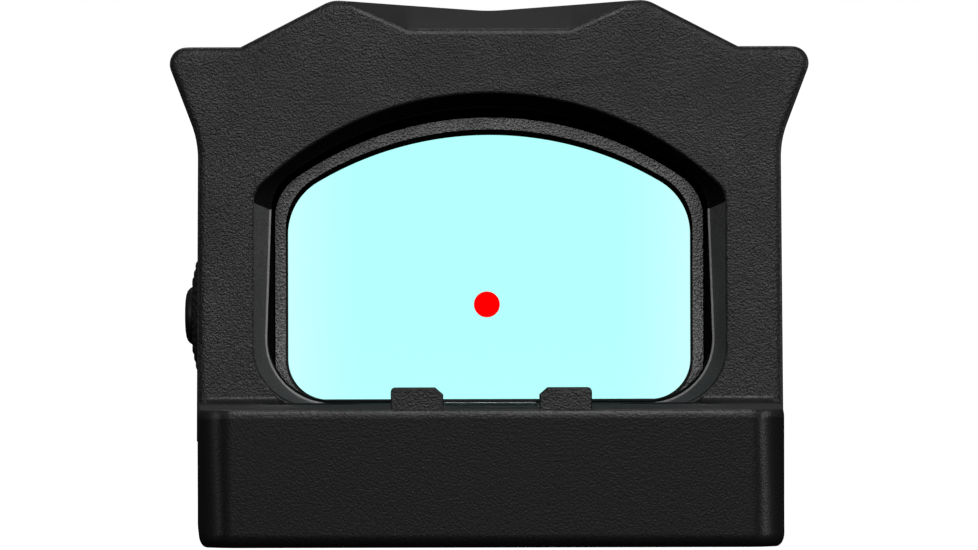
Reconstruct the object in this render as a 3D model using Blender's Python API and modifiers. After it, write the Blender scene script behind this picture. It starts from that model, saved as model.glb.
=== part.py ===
"""Open reflex red dot sight, built as the separate pieces that it comes apart into.

Frame: +Z up, the shooter looks along +Y, and the origin is at the middle of the
underside. Lengths are in millimetres and are turned into metres as meshes are made.
"""

import math

import bmesh
import bpy
from mathutils import Matrix, Vector

MM = 0.001
GAP = 0.05  # clearance of a piece that fits against its neighbour
WELD = 0.00001  # metres, the distance at which loose points are joined

# Base
LENGTH = 45.0
REAR = -LENGTH / 2
FRONT = LENGTH / 2
BASE_HALF = 15.26  # at the hood; the sides draw in to REAR_HALF behind it
REAR_HALF = 15.0
REAR_FACE_HALF = 13.25
DECK = 7.06
UNDER_EDGE, BASE_EDGE = (0.45, 0.7), (0.11, 0.45)  # rounding, inwards and along the extrusion
FACET_HALF, FACET_DEPTH, SIDE_DEPTH = 14.10, 0.45, 1.9  # the two facets of each rear corner
FRONT_CORNER, FRONT_ROUND = 1.0, 0.5
NOSE_DROP = 1.1
NOSE_LENGTH = 4.6

# Hood
PEAK_X, PEAK_Z = 8.2, 28.06
DIP_Z = 27.47  # the top's lowest point, midway between the peaks
EAR_HALF, EAR_Z = 17.08, 25.6  # where the ear's flank would meet its flat top
EAR_INNER = 13.0
HOOD_HALF = 15.3  # at its foot
FLANK_HALF, FLANK_Z = 15.215, 20.7  # where the ear starts to spread out of the hood's side
HOOD_REAR, HOOD_FRONT = 1.0, 17.5
HOOD_EDGE = (0.45, 0.20)
REAR_LEAN, FRONT_LEAN = 0.105, -0.095  # mm of depth for each mm of height
FOOT_FILLET = 0.35
NOTCH_FLOOR_HALF, NOTCH_FLOOR_Z = 4.19, 26.53  # at NOTCH_REAR
NOTCH_HALF, NOTCH_TOP_Z = 7.35, 27.9
NOTCH_REAR = 3.0
NOTCH_RISE = math.atan2(1.3, 11.0)  # how steeply its floor climbs forwards

# Mouth, tunnel and lens: half width, bottom, top, then foot, shoulder and crown radius
FLOOR = 6.9
MOUTH = (12.30, FLOOR, 23.16, 3.05, 1.35, 17.35)
TUNNEL = (11.50, FLOOR, 22.50, 3.55, 2.30, 17.60)
GLASS_SEEN = (10.57, 7.05, 20.95, 2.10, 3.19, 17.70)
BEZEL_OUTER = (11.25, 6.32, 21.88, 2.80, 2.60, 17.90)
BEZEL_INNER = (10.69, 6.90, 21.25, 2.20, 3.05, 17.75)
CHAMFER_DEPTH = 1.6
BEZEL_Y, SEAL_Y, LENS_Y, LIP_Y = 11.2, 12.0, 12.3, 15.15
LENS_LIP = 0.6  # how far the glass reaches past what is seen of it
SEAT_SIDE = 0.08

# Rear lugs and the trough that the emitter shines along
LUG_INNER, LUG_WIDTH, LUG_TOP = 2.46, 2.69, 8.17
LUG_Y = (-22.25, -19.6)
TROUGH_HALF = 2.4
TROUGH_REAR, TROUGH_END = -9.3, 11.3
TROUGH_FLOOR = 5.05  # at its rear
TROUGH_KNEE = (0.6, 5.95)  # where its floor turns to run along the tunnel
BEAM_TILT = math.radians(19.5)

# Emitter mechanism
LED = Vector((0.0, -9.75, 5.6))
ELEVATION = Vector((0, -16.5, 5.9))  # middle of the bottom of the screw head's bore
WINDAGE = Vector((13.7, -10.8, 3.0))
SHAFT_R, HEAD_R = 0.7, 1.7
SLOT_HALF, HEAD_TOP, HEAD_FOOT = 0.22, 1.15, 0.45  # its slot, its top and where its shaft starts

# Underside
POCKET = (11.5, -20.5, -6.0)  # half width, rear and front of the electronics pocket
POCKET_ROOF = 5.2
COVER_RIM = 1.1
COVER_THICK = 0.9
BOARD_Z = (1.2, 1.7)

# Battery
CELL_R, CELL_THICK = 8.0, 3.2
BAY_Y, BAY_HALF = 9.6, 9.0
BAY_Z = (0.9, 5.2)
BAY_END = -8.9
CAP_X, SIDE_X = 13.5, 15.2
CAP_Y, CAP_Z = (-0.2, 21.3), (0.6, 5.9)
TRAY_SCREW = Vector((14.05, 20.0, 3.2))  # where its head rests

# Button
BUTTON = Vector((-15.25, 8.0, 11.53))
SURROUND_R, BUTTON_R = 2.65, 1.68
BUTTON_PROUD = 0.72

# Mounting holes
MOUNT_X, MOUNT_Y, MOUNT_R, MOUNT_HEAD_R, MOUNT_HEAD_Z = 9.45, -2.7, 1.6, 2.6, 4.5

PLANES = {
    "xy": (Matrix(((1, 0, 0), (0, 1, 0), (0, 0, 1))), Vector((0, 0, 1))),
    "xz": (Matrix(((1, 0, 0), (0, 0, -1), (0, 1, 0))), Vector((0, 1, 0))),
    "yz": (Matrix(((0, 0, 1), (1, 0, 0), (0, 1, 0))), Vector((1, 0, 0))),
}
TO_AXIS = {
    "+x": (0, math.pi / 2, 0),
    "-x": (0, -math.pi / 2, 0),
    "+z": (0, 0, 0),
    "-z": (math.pi, 0, 0),
}

# Surface name: colour, roughness, metallic
SURFACES = {
    "anodised": ((0.030, 0.030, 0.031), 0.55, 0.6),
    "bezel_metal": ((0.070, 0.070, 0.072), 0.45, 0.7),
    "coated_glass": ((0.55, 0.95, 0.93), 0.05, 0.0),
    "rubber": ((0.012, 0.012, 0.012), 0.75, 0.0),
    "plastic": ((0.020, 0.020, 0.021), 0.5, 0.0),
    "steel": ((0.50, 0.50, 0.52), 0.35, 1.0),
    "black_steel": ((0.060, 0.060, 0.062), 0.4, 0.9),
    "brass": ((0.72, 0.52, 0.24), 0.35, 1.0),
    "board": ((0.020, 0.090, 0.045), 0.5, 0.0),
    "polyimide": ((0.55, 0.27, 0.06), 0.5, 0.0),
    "red_emitter": ((0.80, 0.02, 0.02), 0.3, 0.0),
}


# Outlines


def rounded_outline(corners, steps=4):
    """A closed outline whose corners, each (x, y, radius), are rounded with arcs."""
    points = []
    for place, (x, y, radius) in enumerate(corners):
        corner = Vector((x, y))
        if radius == 0:
            points.append(corner)
            continue
        back = (Vector(corners[place - 1][:2]) - corner).normalized()
        ahead = (Vector(corners[(place + 1) % len(corners)][:2]) - corner).normalized()
        half = back.angle(ahead) / 2
        centre = corner + (back + ahead).normalized() * radius / math.sin(half)
        reach = radius / math.tan(half)
        first = corner + back * reach - centre
        last = corner + ahead * reach - centre
        start = math.atan2(first.y, first.x)
        sweep = math.atan2(last.y, last.x) - start
        sweep = (sweep + math.pi) % (2 * math.pi) - math.pi
        points += arc(centre, radius, start, start + sweep, steps)
    return points


def arc(centre, radius, start, end, steps):
    angles = [start + (end - start) * k / steps for k in range(steps + 1)]
    return [Vector((centre[0] + radius * math.cos(a), centre[1] + radius * math.sin(a))) for a in angles]


def rectangle(low_x, high_x, low_y, high_y, radius=0.0, steps=3):
    corners = ((low_x, low_y), (high_x, low_y), (high_x, high_y), (low_x, high_y))
    return rounded_outline([(x, y, radius) for x, y in corners], steps)


def circle(x, y, radius, steps=24):
    return arc((x, y), radius, 0, 2 * math.pi * (1 - 1 / steps), steps - 1)


def arch(half, bottom, top, foot_radius, shoulder_radius, crown_radius, steps=5):
    """A window outline: round feet, upright sides, round shoulders and an arched crown."""
    crown = top - crown_radius
    shoulder_x = half - shoulder_radius
    shoulder_z = crown + math.sqrt((crown_radius - shoulder_radius) ** 2 - shoulder_x**2)
    turn = math.atan2(shoulder_z - crown, shoulder_x)
    foot = arc((half - foot_radius, bottom + foot_radius), foot_radius, -math.pi / 2, 0, steps)
    shoulder = arc((shoulder_x, shoulder_z), shoulder_radius, 0, turn, steps)
    side = foot + shoulder
    over = arc((0, crown), crown_radius, turn, math.pi - turn, 2 * steps)[1:-1]
    return side + over + [Vector((-p.x, p.y)) for p in reversed(side)]


def grown(shape, amount):
    """The same arch, larger all round by the amount."""
    half, bottom, top, foot_radius, shoulder_radius, crown_radius = shape
    radii = (foot_radius + amount, shoulder_radius + amount, crown_radius + amount)
    return (half + amount, bottom - amount, top + amount, *radii)


def mirrored(half_outline):
    """A whole outline from its right half, which runs from bottom to top."""
    return half_outline + [(-x, y, radius) for x, y, radius in reversed(half_outline) if x]


def inset(corners, amount):
    """The same corners moved inwards, with radii that keep the rounded outline parallel."""
    moved = []
    for place, (x, y, radius) in enumerate(corners):
        corner = Vector((x, y))
        back = (corner - Vector(corners[place - 1][:2])).normalized()
        ahead = (Vector(corners[(place + 1) % len(corners)][:2]) - corner).normalized()
        inward = Vector((-back.y - ahead.y, back.x + ahead.x)) / (1 + back.dot(ahead))
        if radius:
            radius -= math.copysign(amount, back.cross(ahead))
        moved.append((*(corner + inward * amount), radius))
    return moved


def quarter_turn(reach, depth, steps=3):
    """Pairs of depth and inset that round an edge off, from its face to its side."""
    angles = [math.pi / 2 * k / steps for k in range(steps + 1)]
    return [(depth * (1 - math.cos(a)), reach * (1 - math.sin(a))) for a in angles]


# Solids


def register(name, mesh, collection):
    shape = bpy.data.objects.new(name, mesh)
    collection.objects.link(shape)
    return shape


def guide(shape):
    """Marks a cutter or another shape that is only used by a Boolean."""
    shape.hide_render = True
    shape.display_type = "WIRE"
    return shape


def as_mesh(curve_object):
    """Swaps a filled curve for a mesh with its caps welded on, in world coordinates."""
    bpy.context.view_layer.update()
    graph = bpy.context.evaluated_depsgraph_get()
    mesh = bpy.data.meshes.new_from_object(curve_object.evaluated_get(graph))
    mesh.transform(curve_object.matrix_world)
    work = bmesh.new()
    work.from_mesh(mesh)
    bmesh.ops.remove_doubles(work, verts=work.verts, dist=WELD)
    bmesh.ops.dissolve_limit(work, angle_limit=0.001, verts=work.verts, edges=work.edges)
    bmesh.ops.recalc_face_normals(work, faces=work.faces)
    work.to_mesh(mesh)
    work.free()
    name, collection = curve_object.name, curve_object.users_collection[0]
    bpy.data.curves.remove(curve_object.data)
    return register(name, mesh, collection)


def prism(name, outlines, plane, low, high, collection=None):
    """A flat outline, less the holes that follow it, made solid from low to high."""
    curve = bpy.data.curves.new(name, "CURVE")
    curve.dimensions = "2D"
    curve.fill_mode = "BOTH"
    curve.extrude = (high - low) / 2 * MM
    for outline in outlines:
        spline = curve.splines.new("POLY")
        spline.points.add(len(outline) - 1)
        for point, (x, y) in zip(spline.points, outline):
            point.co = (x * MM, y * MM, 0, 1)
        spline.use_cyclic_u = True
    turn, axis = PLANES[plane]
    drawn = register(name, curve, collection or PARTS)
    drawn.matrix_world = Matrix.Translation(axis * (low + high) / 2 * MM) @ turn.to_4x4()
    return as_mesh(drawn)


def loft(name, loops):
    """A closed solid through loops of equally many points, capped at both ends."""
    work = bmesh.new()
    rims = [[work.verts.new(point * MM) for point in loop] for loop in loops]
    for near, far in zip(rims, rims[1:]):
        for k in range(len(near)):
            work.faces.new((near[k - 1], near[k], far[k], far[k - 1]))
    work.faces.new(rims[0])
    work.faces.new(rims[-1])
    work.normal_update()
    bmesh.ops.triangulate(work, faces=work.faces)
    bmesh.ops.recalc_face_normals(work, faces=work.faces)
    mesh = bpy.data.meshes.new(name)
    work.to_mesh(mesh)
    work.free()
    return register(name, mesh, TOOLS)


def rounded_slab(name, corners, plane, low, high, low_edge, high_edge, steps=4):
    """An outline made solid from low to high, its edges at both ends rounded."""
    turn, axis = PLANES[plane]
    near = [(low + depth, amount) for depth, amount in quarter_turn(*low_edge)]
    far = [(high - depth, amount) for depth, amount in reversed(quarter_turn(*high_edge))]
    loops = []
    for depth, amount in near + far:
        outline = rounded_outline(inset(corners, amount), steps)
        loops.append([turn @ Vector((*point, 0)) + axis * depth for point in outline])
    return loft(name, loops)


def box(name, low, high, collection=None):
    work = bmesh.new()
    bmesh.ops.create_cube(work, size=1)
    size = Vector(high) - Vector(low)
    bmesh.ops.scale(work, vec=size * MM, verts=work.verts)
    mesh = bpy.data.meshes.new(name)
    work.to_mesh(mesh)
    work.free()
    shape = register(name, mesh, collection or PARTS)
    shape.location = (Vector(low) + Vector(high)) / 2 * MM
    return shape


def rod(name, radius, start, axis, length, segments=24, collection=None):
    """A cylinder from its start point along an axis."""
    work = bmesh.new()
    bmesh.ops.create_cone(
        work,
        cap_ends=True,
        segments=segments,
        radius1=radius * MM,
        radius2=radius * MM,
        depth=length * MM,
        matrix=Matrix.Translation((0, 0, length / 2 * MM)),
    )
    mesh = bpy.data.meshes.new(name)
    work.to_mesh(mesh)
    work.free()
    mesh.shade_smooth()
    mesh.set_sharp_from_angle(angle=math.radians(40))
    shape = register(name, mesh, collection or PARTS)
    shape.location = Vector(start) * MM
    shape.rotation_euler = TO_AXIS[axis]
    return shape


def turned(name, profile, start, axis, steps=24, closed=False, collection=None):
    """A profile of (radius, height), top to bottom down its outer side, spun about an axis."""
    mesh = bpy.data.meshes.new(name)
    points = [(radius * MM, 0, height * MM) for radius, height in profile]
    edges = [(k, k + 1) for k in range(len(points) - 1)]
    if closed:
        edges.append((len(points) - 1, 0))
    mesh.from_pydata(points, edges, [])
    shape = register(name, mesh, collection or PARTS)
    spin = shape.modifiers.new("spin", "SCREW")
    spin.steps = spin.render_steps = steps
    spin.use_merge_vertices = True
    spin.merge_threshold = WELD
    spin.use_smooth_shade = False
    shape.location = Vector(start) * MM
    shape.rotation_euler = TO_AXIS[axis]
    return shape


def ring(name, inner, outer, low, high, start, axis, steps=24):
    profile = ((outer, high), (outer, low), (inner, low), (inner, high))
    return turned(name, profile, start, axis, steps, closed=True)


def o_ring(name, middle_radius, wire_radius, start, axis):
    around = 8
    profile = []
    for k in range(around):
        angle = -2 * math.pi * k / around
        radius = middle_radius + wire_radius * math.cos(angle)
        profile.append((radius, wire_radius * math.sin(angle)))
    return turned(name, profile, start, axis, steps=20, closed=True)


def coil(name, middle_radius, wire_radius, length, turns, start, axis):
    """A compression spring along an axis from its start."""
    each_turn = 12
    count = round(turns * each_turn)
    run = length - 2 * wire_radius
    curve = bpy.data.curves.new(name, "CURVE")
    curve.dimensions = "3D"
    curve.bevel_depth = wire_radius * MM
    curve.bevel_resolution = 1
    curve.use_fill_caps = True
    spline = curve.splines.new("POLY")
    spline.points.add(count)
    for k, point in enumerate(spline.points):
        angle = 2 * math.pi * k / each_turn
        height = wire_radius + run * k / count
        place = (middle_radius * math.cos(angle), middle_radius * math.sin(angle), height)
        point.co = (*(part * MM for part in place), 1)
    shape = register(name, curve, PARTS)
    shape.location = Vector(start) * MM
    shape.rotation_euler = TO_AXIS[axis]
    return shape


def combine(target, tool, operation):
    step = target.modifiers.new(tool.name, "BOOLEAN")
    step.object = guide(tool)
    step.operation = operation
    step.solver = "EXACT"


def cut(target, *tools):
    for tool in tools:
        combine(target, tool, "DIFFERENCE")


def join(target, *tools):
    for tool in tools:
        combine(target, tool, "UNION")


def round_edges(shape, width, segments=2, sharper_than=35):
    bevel = shape.modifiers.new("edges", "BEVEL")
    bevel.width = width * MM
    bevel.segments = segments
    bevel.limit_method = "ANGLE"
    bevel.angle_limit = math.radians(sharper_than)


def centre_on(shape, point):
    """Moves a mesh object's origin to a point, in millimetres, and leaves its shape in place."""
    bpy.context.view_layer.update()
    place = Vector(point) * MM
    shape.data.transform(Matrix.Translation(-place) @ shape.matrix_world)
    shape.rotation_euler = (0, 0, 0)
    shape.location = place
    return shape


def surface(name):
    colour, roughness, metallic = SURFACES[name]
    material = bpy.data.materials.new(name)
    material.use_nodes = True
    shader = material.node_tree.nodes["Principled BSDF"]
    shader.inputs["Base Color"].default_value = (*colour, 1)
    shader.inputs["Roughness"].default_value = roughness
    shader.inputs["Metallic"].default_value = metallic
    return material


def dress(surface_name, *shapes):
    for shape in shapes:
        shape.data.materials.clear()
        shape.data.materials.append(MATERIALS[surface_name])


# Housing


def lean_faces(shape, middle, rear, front=0.0):
    """Leans the faces behind and ahead of a depth, by mm for each mm above the deck."""
    for vertex in shape.data.vertices:
        lean = rear if vertex.co.y < middle * MM else front
        vertex.co.y += lean * (vertex.co.z - DECK * MM)
    return shape


def base_block():
    right = [
        (REAR_FACE_HALF, REAR, 0),
        (FACET_HALF, REAR + FACET_DEPTH, 0),
        (REAR_HALF, REAR + SIDE_DEPTH, 0),
        (BASE_HALF, HOOD_REAR, 0),
        (BASE_HALF, FRONT - FRONT_CORNER, FRONT_ROUND),
        (BASE_HALF - FRONT_CORNER, FRONT, FRONT_ROUND),
    ]
    block = rounded_slab("base_block", mirrored(right), "xy", 0, DECK, UNDER_EDGE, BASE_EDGE)
    nose = box("nose_cut", (-20, 0, 0), (20, 12, 6), TOOLS)
    nose.location = Vector((0, FRONT - NOSE_LENGTH, DECK)) * MM
    slope = math.atan2(NOSE_DROP, NOSE_LENGTH)
    nose.data.transform(Matrix.Translation(Vector((0, 6, 3)) * MM))
    nose.rotation_euler = (-slope, 0, 0)
    cut(block, nose)
    return block


def hood_block():
    right = [
        (HOOD_HALF, DECK - 2.0, 0),
        (FLANK_HALF, FLANK_Z, 5.0),
        (EAR_HALF, EAR_Z, 0.88),
        (EAR_INNER, EAR_Z, 0.3),
        (PEAK_X, PEAK_Z, 1.6),
        (0, DIP_Z, 10.0),
    ]
    depths = (HOOD_REAR, HOOD_FRONT)
    hood = rounded_slab("hood_block", mirrored(right), "xz", *depths, HOOD_EDGE, HOOD_EDGE)
    return lean_faces(hood, (HOOD_REAR + HOOD_FRONT) / 2, REAR_LEAN, FRONT_LEAN)


def foot_fillet():
    """The hollow curve where the hood's rear face runs down into the deck."""
    centre = (HOOD_REAR - FOOT_FILLET, DECK + FOOT_FILLET)
    outline = arc(centre, FOOT_FILLET, -math.pi / 2, 0, 4)
    outline += [Vector((HOOD_REAR + 1.5, DECK + FOOT_FILLET)), Vector((HOOD_REAR + 1.5, DECK - 0.5))]
    outline.append(Vector((HOOD_REAR - FOOT_FILLET, DECK - 0.5)))
    half = HOOD_HALF - HOOD_EDGE[0] - 0.1
    return prism("foot_fillet", [outline], "yz", -half, half, TOOLS)


def lugs():
    made = []
    for side in (-1, 1):
        inner, outer = side * LUG_INNER, side * (LUG_INNER + LUG_WIDTH)
        corners = [
            (outer, DECK - 1.0, 0),
            (outer, LUG_TOP, 0.18),
            (inner + side * 0.4, LUG_TOP, 0),
            (inner, LUG_TOP - 0.32, 0),
            (inner, DECK - 1.0, 0),
        ]
        lug = prism(f"lug_{side}", [rounded_outline(corners)], "xz", *LUG_Y, TOOLS)
        made.append(lean_faces(lug, sum(LUG_Y) / 2, REAR_LEAN))
    return made


def notch_cut():
    """The ramp sunk into the hood's top between the peaks, deepest at the rear."""
    right = [
        (NOTCH_FLOOR_HALF, NOTCH_FLOOR_Z, 1.2),
        (NOTCH_HALF, NOTCH_TOP_Z, 0),
        (NOTCH_HALF + 1.6, NOTCH_TOP_Z + 4, 0),
    ]
    outline = rounded_outline(mirrored(right))
    notch = prism("notch_cut", [outline], "xz", HOOD_REAR - 3, FRONT, TOOLS)
    for vertex in notch.data.vertices:
        vertex.co.z += math.tan(NOTCH_RISE) * (vertex.co.y - NOTCH_REAR * MM)
    return notch


def tunnel_cut():
    """The hood's tunnel with its flared mouth, which follows the lean of the rear face."""
    flare = [mouth + (mouth - tunnel) / CHAMFER_DEPTH for mouth, tunnel in zip(MOUTH, TUNNEL)]
    loops = []
    for shape, depth in ((flare, -1.0), (TUNNEL, CHAMFER_DEPTH)):
        start = HOOD_REAR + depth
        loops.append([Vector((x, start + REAR_LEAN * (z - DECK), z)) for x, z in arch(*shape)])
    loops.append([Vector((x, BEZEL_Y - 0.6, z)) for x, z in arch(*TUNNEL)])
    return loft("tunnel_cut", loops)


def optic_cuts():
    seat = grown(BEZEL_OUTER, SEAT_SIDE)
    return [
        tunnel_cut(),
        prism("seat_cut", [arch(*seat)], "xz", BEZEL_Y - 0.9, LIP_Y, TOOLS),
        prism("front_cut", [arch(*grown(GLASS_SEEN, 0.12))], "xz", LIP_Y - 1, FRONT, TOOLS),
    ]


def trough_cut():
    """A channel that starts at the emitter window's slanted seat and fades out at the lens."""
    lean = math.tan(BEAM_TILT)
    above = TROUGH_FLOOR + 3.0
    outline = [
        (TROUGH_REAR - lean * 3.0, above),
        (TROUGH_REAR, TROUGH_FLOOR),
        TROUGH_KNEE,
        (TROUGH_END, FLOOR + 0.07),
        (TROUGH_END, above),
    ]
    points = [Vector(point) for point in reversed(outline)]
    return prism("trough_cut", [points], "yz", -TROUGH_HALF, TROUGH_HALF, TOOLS)


def mechanism_cuts():
    return [
        box("emitter_cavity", (-2.6, -14.2, 4.0), (2.6, -10.1, 6.45), TOOLS),
        box("beam_port", (-1.3, -10.6, 5.06), (1.3, -8.6, 6.45), TOOLS),
        rod("elevation_head_bore", HEAD_R + GAP, ELEVATION, "+z", 3, collection=TOOLS),
        rod("elevation_bore", SHAFT_R + GAP, ELEVATION - Vector((0, 0, 2)), "+z", 4, 20, TOOLS),
        rod("windage_head_bore", HEAD_R + GAP, WINDAGE, "+x", 4, collection=TOOLS),
        rod("windage_bore", SHAFT_R + GAP, WINDAGE - Vector((4, 0, 0)), "+x", 6, 20, TOOLS),
    ]


def underside_cuts():
    half, rear, front = POCKET
    cover = rectangle(-half - 1.2, half + 1.2, rear - 1.0, front + 0.9, 1.6)
    pocket = rectangle(-half, half, rear, front, 1.0)
    return [
        prism("pocket_cut", [pocket], "xy", -1, POCKET_ROOF, TOOLS),
        prism("cover_cut", [cover], "xy", -1, COVER_RIM, TOOLS),
        box("flex_slot_low", (-13.2, -9.0, 2.4), (-11.0, -6.1, 5.1), TOOLS),
        box("flex_slot_run", (-13.2, -8.0, 2.9), (-12.6, 9.2, 5.1), TOOLS),
        box("flex_slot_rise", (-13.2, 6.8, 2.9), (-12.6, 9.2, 11.0), TOOLS),
        box("contact_slot", (-5.6, front - 1, 4.52), (-3.4, BAY_Y - BAY_HALF + 1, 5.12), TOOLS),
    ]


def battery_cuts():
    low, high = BAY_Y - BAY_HALF, BAY_Y + BAY_HALF
    bay = rectangle(low, high, *BAY_Z, 0.3)
    cap = rectangle(*CAP_Y, *CAP_Z, 1.0)
    seal = rectangle(low - 0.5, high + 0.5, BAY_Z[0] - 0.25, BAY_Z[1] + 0.3, 0.5)
    thread = TRAY_SCREW - Vector((3.75, 0, 0))
    return [
        prism("bay_cut", [bay], "yz", BAY_END, 17, TOOLS),
        prism("seal_cut", [seal], "yz", CAP_X - 0.4, 17, TOOLS),
        prism("cap_cut", [cap], "yz", CAP_X, 17, TOOLS),
        rod("tray_thread_cut", SHAFT_R + GAP, thread, "+x", 4, 20, TOOLS),
    ]


def button_cuts():
    deep = 2.55
    start = BUTTON + Vector((deep, 0, 0))
    return [rod("button_bore", SURROUND_R + GAP, start, "-x", deep + 2, 32, TOOLS)]


def mounting_cuts():
    made = []
    for side, x in (("left", -MOUNT_X), ("right", MOUNT_X)):
        made.append(rod(f"mount_hole_{side}", MOUNT_R, (x, MOUNT_Y, -1), "+z", 12, 24, TOOLS))
        start = (x, MOUNT_Y, MOUNT_HEAD_Z)
        made.append(rod(f"mount_head_{side}", MOUNT_HEAD_R, start, "+z", 6, 32, TOOLS))
    return made


def cover_screw_places():
    half, rear, front = POCKET
    return [(x, y) for y in (rear + 0.9, front - 0.9) for x in (-half + 0.9, half - 0.9)]


def board_screw_places():
    return [(-6.6, -19.0), (6.6, -19.0)]


def screw_bosses():
    """Posts in the pocket's corners, grown into its walls, that take the cover's screws."""
    middle = (POCKET[1] + POCKET[2]) / 2
    made = []
    for number, (x, y) in enumerate(cover_screw_places()):
        out_x, out_y = math.copysign(1, x), math.copysign(1, y - middle)
        spans = sorted((x - out_x, x + 1.5 * out_x)), sorted((y - out_y, y + 1.5 * out_y))
        low = (spans[0][0], spans[1][0], COVER_RIM + GAP)
        high = (spans[0][1], spans[1][1], POCKET_ROOF + 0.4)
        made.append(box(f"cover_boss_{number}", low, high, TOOLS))
    return made


def housing():
    body = base_block()
    join(body, hood_block(), foot_fillet(), *lugs())
    cut(body, notch_cut(), *optic_cuts(), trough_cut(), *underside_cuts())
    join(body, *screw_bosses())
    for x, y in cover_screw_places():
        cut(body, rod("cover_thread_cut", 0.6, (x, y, 0), "+z", 3.6, 16, TOOLS))
    cut(body, *mechanism_cuts(), *battery_cuts(), *button_cuts(), *mounting_cuts())
    body.name = "housing"
    TOOLS.objects.unlink(body)
    PARTS.objects.link(body)
    dress("anodised", body)


# Optics


def optics():
    glass = arch(*grown(GLASS_SEEN, LENS_LIP))
    pinch = arch(*GLASS_SEEN)
    bezel = prism("lens_bezel", [arch(*BEZEL_OUTER), arch(*BEZEL_INNER)], "xz", BEZEL_Y, SEAL_Y - GAP)
    seal = prism("lens_seal", [glass, pinch], "xz", SEAL_Y, LENS_Y - GAP)
    split = (LENS_Y + LIP_Y) / 2
    rear = prism("lens_rear_element", [glass], "xz", LENS_Y, split - GAP / 2)
    front = prism("lens_front_element", [glass], "xz", split + GAP / 2, LIP_Y - GAP)
    dress("bezel_metal", bezel)
    dress("rubber", seal)
    dress("coated_glass", rear, front)


def emitter_window():
    """A small pane square to the beam, resting on the trough's slanted rear end."""
    pane = box("emitter_window", (-1.9, 0, 0.1), (1.9, 0.4, 1.95))
    pane.data.transform(Matrix.Translation(pane.location))
    pane.location = Vector((0, TROUGH_REAR + GAP + 0.02, 5.1)) * MM
    pane.rotation_euler = (BEAM_TILT, 0, 0)
    dress("coated_glass", pane)


# Emitter and its adjusters


def led_parts():
    low, high = Vector((-1.6, -11.85, 4.35)), Vector((1.6, -10.35, 6.1))
    holder = box("led_holder", low, high)
    rail_slot = box("rail_slot", (-3, -13, 4.85), (3, -11.25, 5.55), TOOLS)
    tail = box("holder_tail", (-0.6, -11.5, 3.0), (0.6, -10.5, 4.6), TOOLS)
    join(holder, tail)
    cut(holder, rail_slot)
    centre_on(holder, LED)
    die = box("led_emitter", LED - Vector((0.5, 0.55, 0.25)), LED + Vector((0.5, 0.0, 0.25)))
    flex = box("led_flex", (-1.77, -11.2, 2.3), (-1.67, -10.5, 6.0))
    dress("brass", holder)
    dress("red_emitter", die)
    dress("polyimide", flex)


def elevation_carriage():
    plate = box("elevation_carriage", (-2.2, -14.0, 2.6), (2.2, -11.95, 6.0))
    arm = box("carriage_arm", (-1.7, ELEVATION.y - 1.4, 2.6), (1.7, -13.5, 4.0), TOOLS)
    rail = box("carriage_rail", (-2.2, -12.5, 4.9), (2.2, -11.32, 5.5), TOOLS)
    thread = rod("carriage_thread", SHAFT_R + GAP, (0, ELEVATION.y, 0), "+z", 8, 20, TOOLS)
    join(plate, arm, rail)
    cut(plate, thread)
    for side, x in (("left", -1.6), ("right", 1.6)):
        start = (x, -13.1, 1.95)
        cut(plate, rod(f"pin_bore_{side}", 0.45, start, "+z", 6, 16, TOOLS))
        pin = rod(f"carriage_guide_pin_{side}", 0.4, start, "+z", 4.4, 16)
        dress("steel", pin)
    dress("brass", plate)


def adjuster(name, head, axis, shaft_length, slot_along):
    """A captive screw: slotted head, o-ring under it and a clip behind the wall.

    `head` is the point on the axis at the bottom of the head's bore, and the axis points out.
    """
    profile = (
        (0, HEAD_TOP),
        (HEAD_R - 0.15, HEAD_TOP),
        (HEAD_R, HEAD_TOP - 0.15),
        (HEAD_R, HEAD_FOOT),
        (SHAFT_R, HEAD_FOOT),
        (SHAFT_R, -shaft_length),
        (0, -shaft_length),
    )
    screw = turned(name, profile, head, axis)
    outward = Vector((0, 0, 1)) if axis == "+z" else Vector((1, 0, 0))
    slot_half = Vector((SLOT_HALF, SLOT_HALF, SLOT_HALF))
    slot_half[slot_along] = 3
    middle = head + outward * (HEAD_TOP + SLOT_HALF - HEAD_FOOT)
    slot = box(f"{name}_slot", middle - slot_half, middle + slot_half + outward * 0.5, TOOLS)
    cut(screw, slot)
    seal = o_ring(f"{name}_o_ring", SHAFT_R + 0.27, 0.2, head + outward * 0.22, axis)
    dress("black_steel", screw)
    dress("rubber", seal)


def adjusters():
    adjuster("elevation_screw", ELEVATION, "+z", 3.8, 0)
    clip = ring("elevation_clip", SHAFT_R + 0.02, 1.4, 0, 0.2, (0, ELEVATION.y, 4.95), "+z")
    spring_low, spring_high = 4.03, 4.9
    spring = coil(
        "elevation_spring",
        SHAFT_R + 0.35,
        0.12,
        spring_high - spring_low,
        2.5,
        (0, ELEVATION.y, spring_low),
        "+z",
    )
    adjuster("windage_screw", WINDAGE, "+x", 12.2, 1)
    start = (11.2, WINDAGE.y, WINDAGE.z)
    side_clip = ring("windage_clip", SHAFT_R + 0.02, 1.25, 0, 0.25, start, "+x")
    side_spring = coil("windage_spring", SHAFT_R + 0.3, 0.12, 6.2, 6, (4.0, WINDAGE.y, WINDAGE.z), "+x")
    dress("steel", clip, side_clip, spring, side_spring)


def windage_nut():
    nut = box("windage_nut", (-1.4, WINDAGE.y - 1.1, 2.0), (3.6, WINDAGE.y + 1.1, 4.0))
    fork = box("nut_fork", (-0.65, WINDAGE.y - 3, 2.5), (0.65, WINDAGE.y + 3, 5), TOOLS)
    thread = rod("nut_thread", SHAFT_R + GAP, (1.2, WINDAGE.y, WINDAGE.z), "+x", 5, 20, TOOLS)
    cut(nut, fork, thread)
    dress("brass", nut)


# Button


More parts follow.
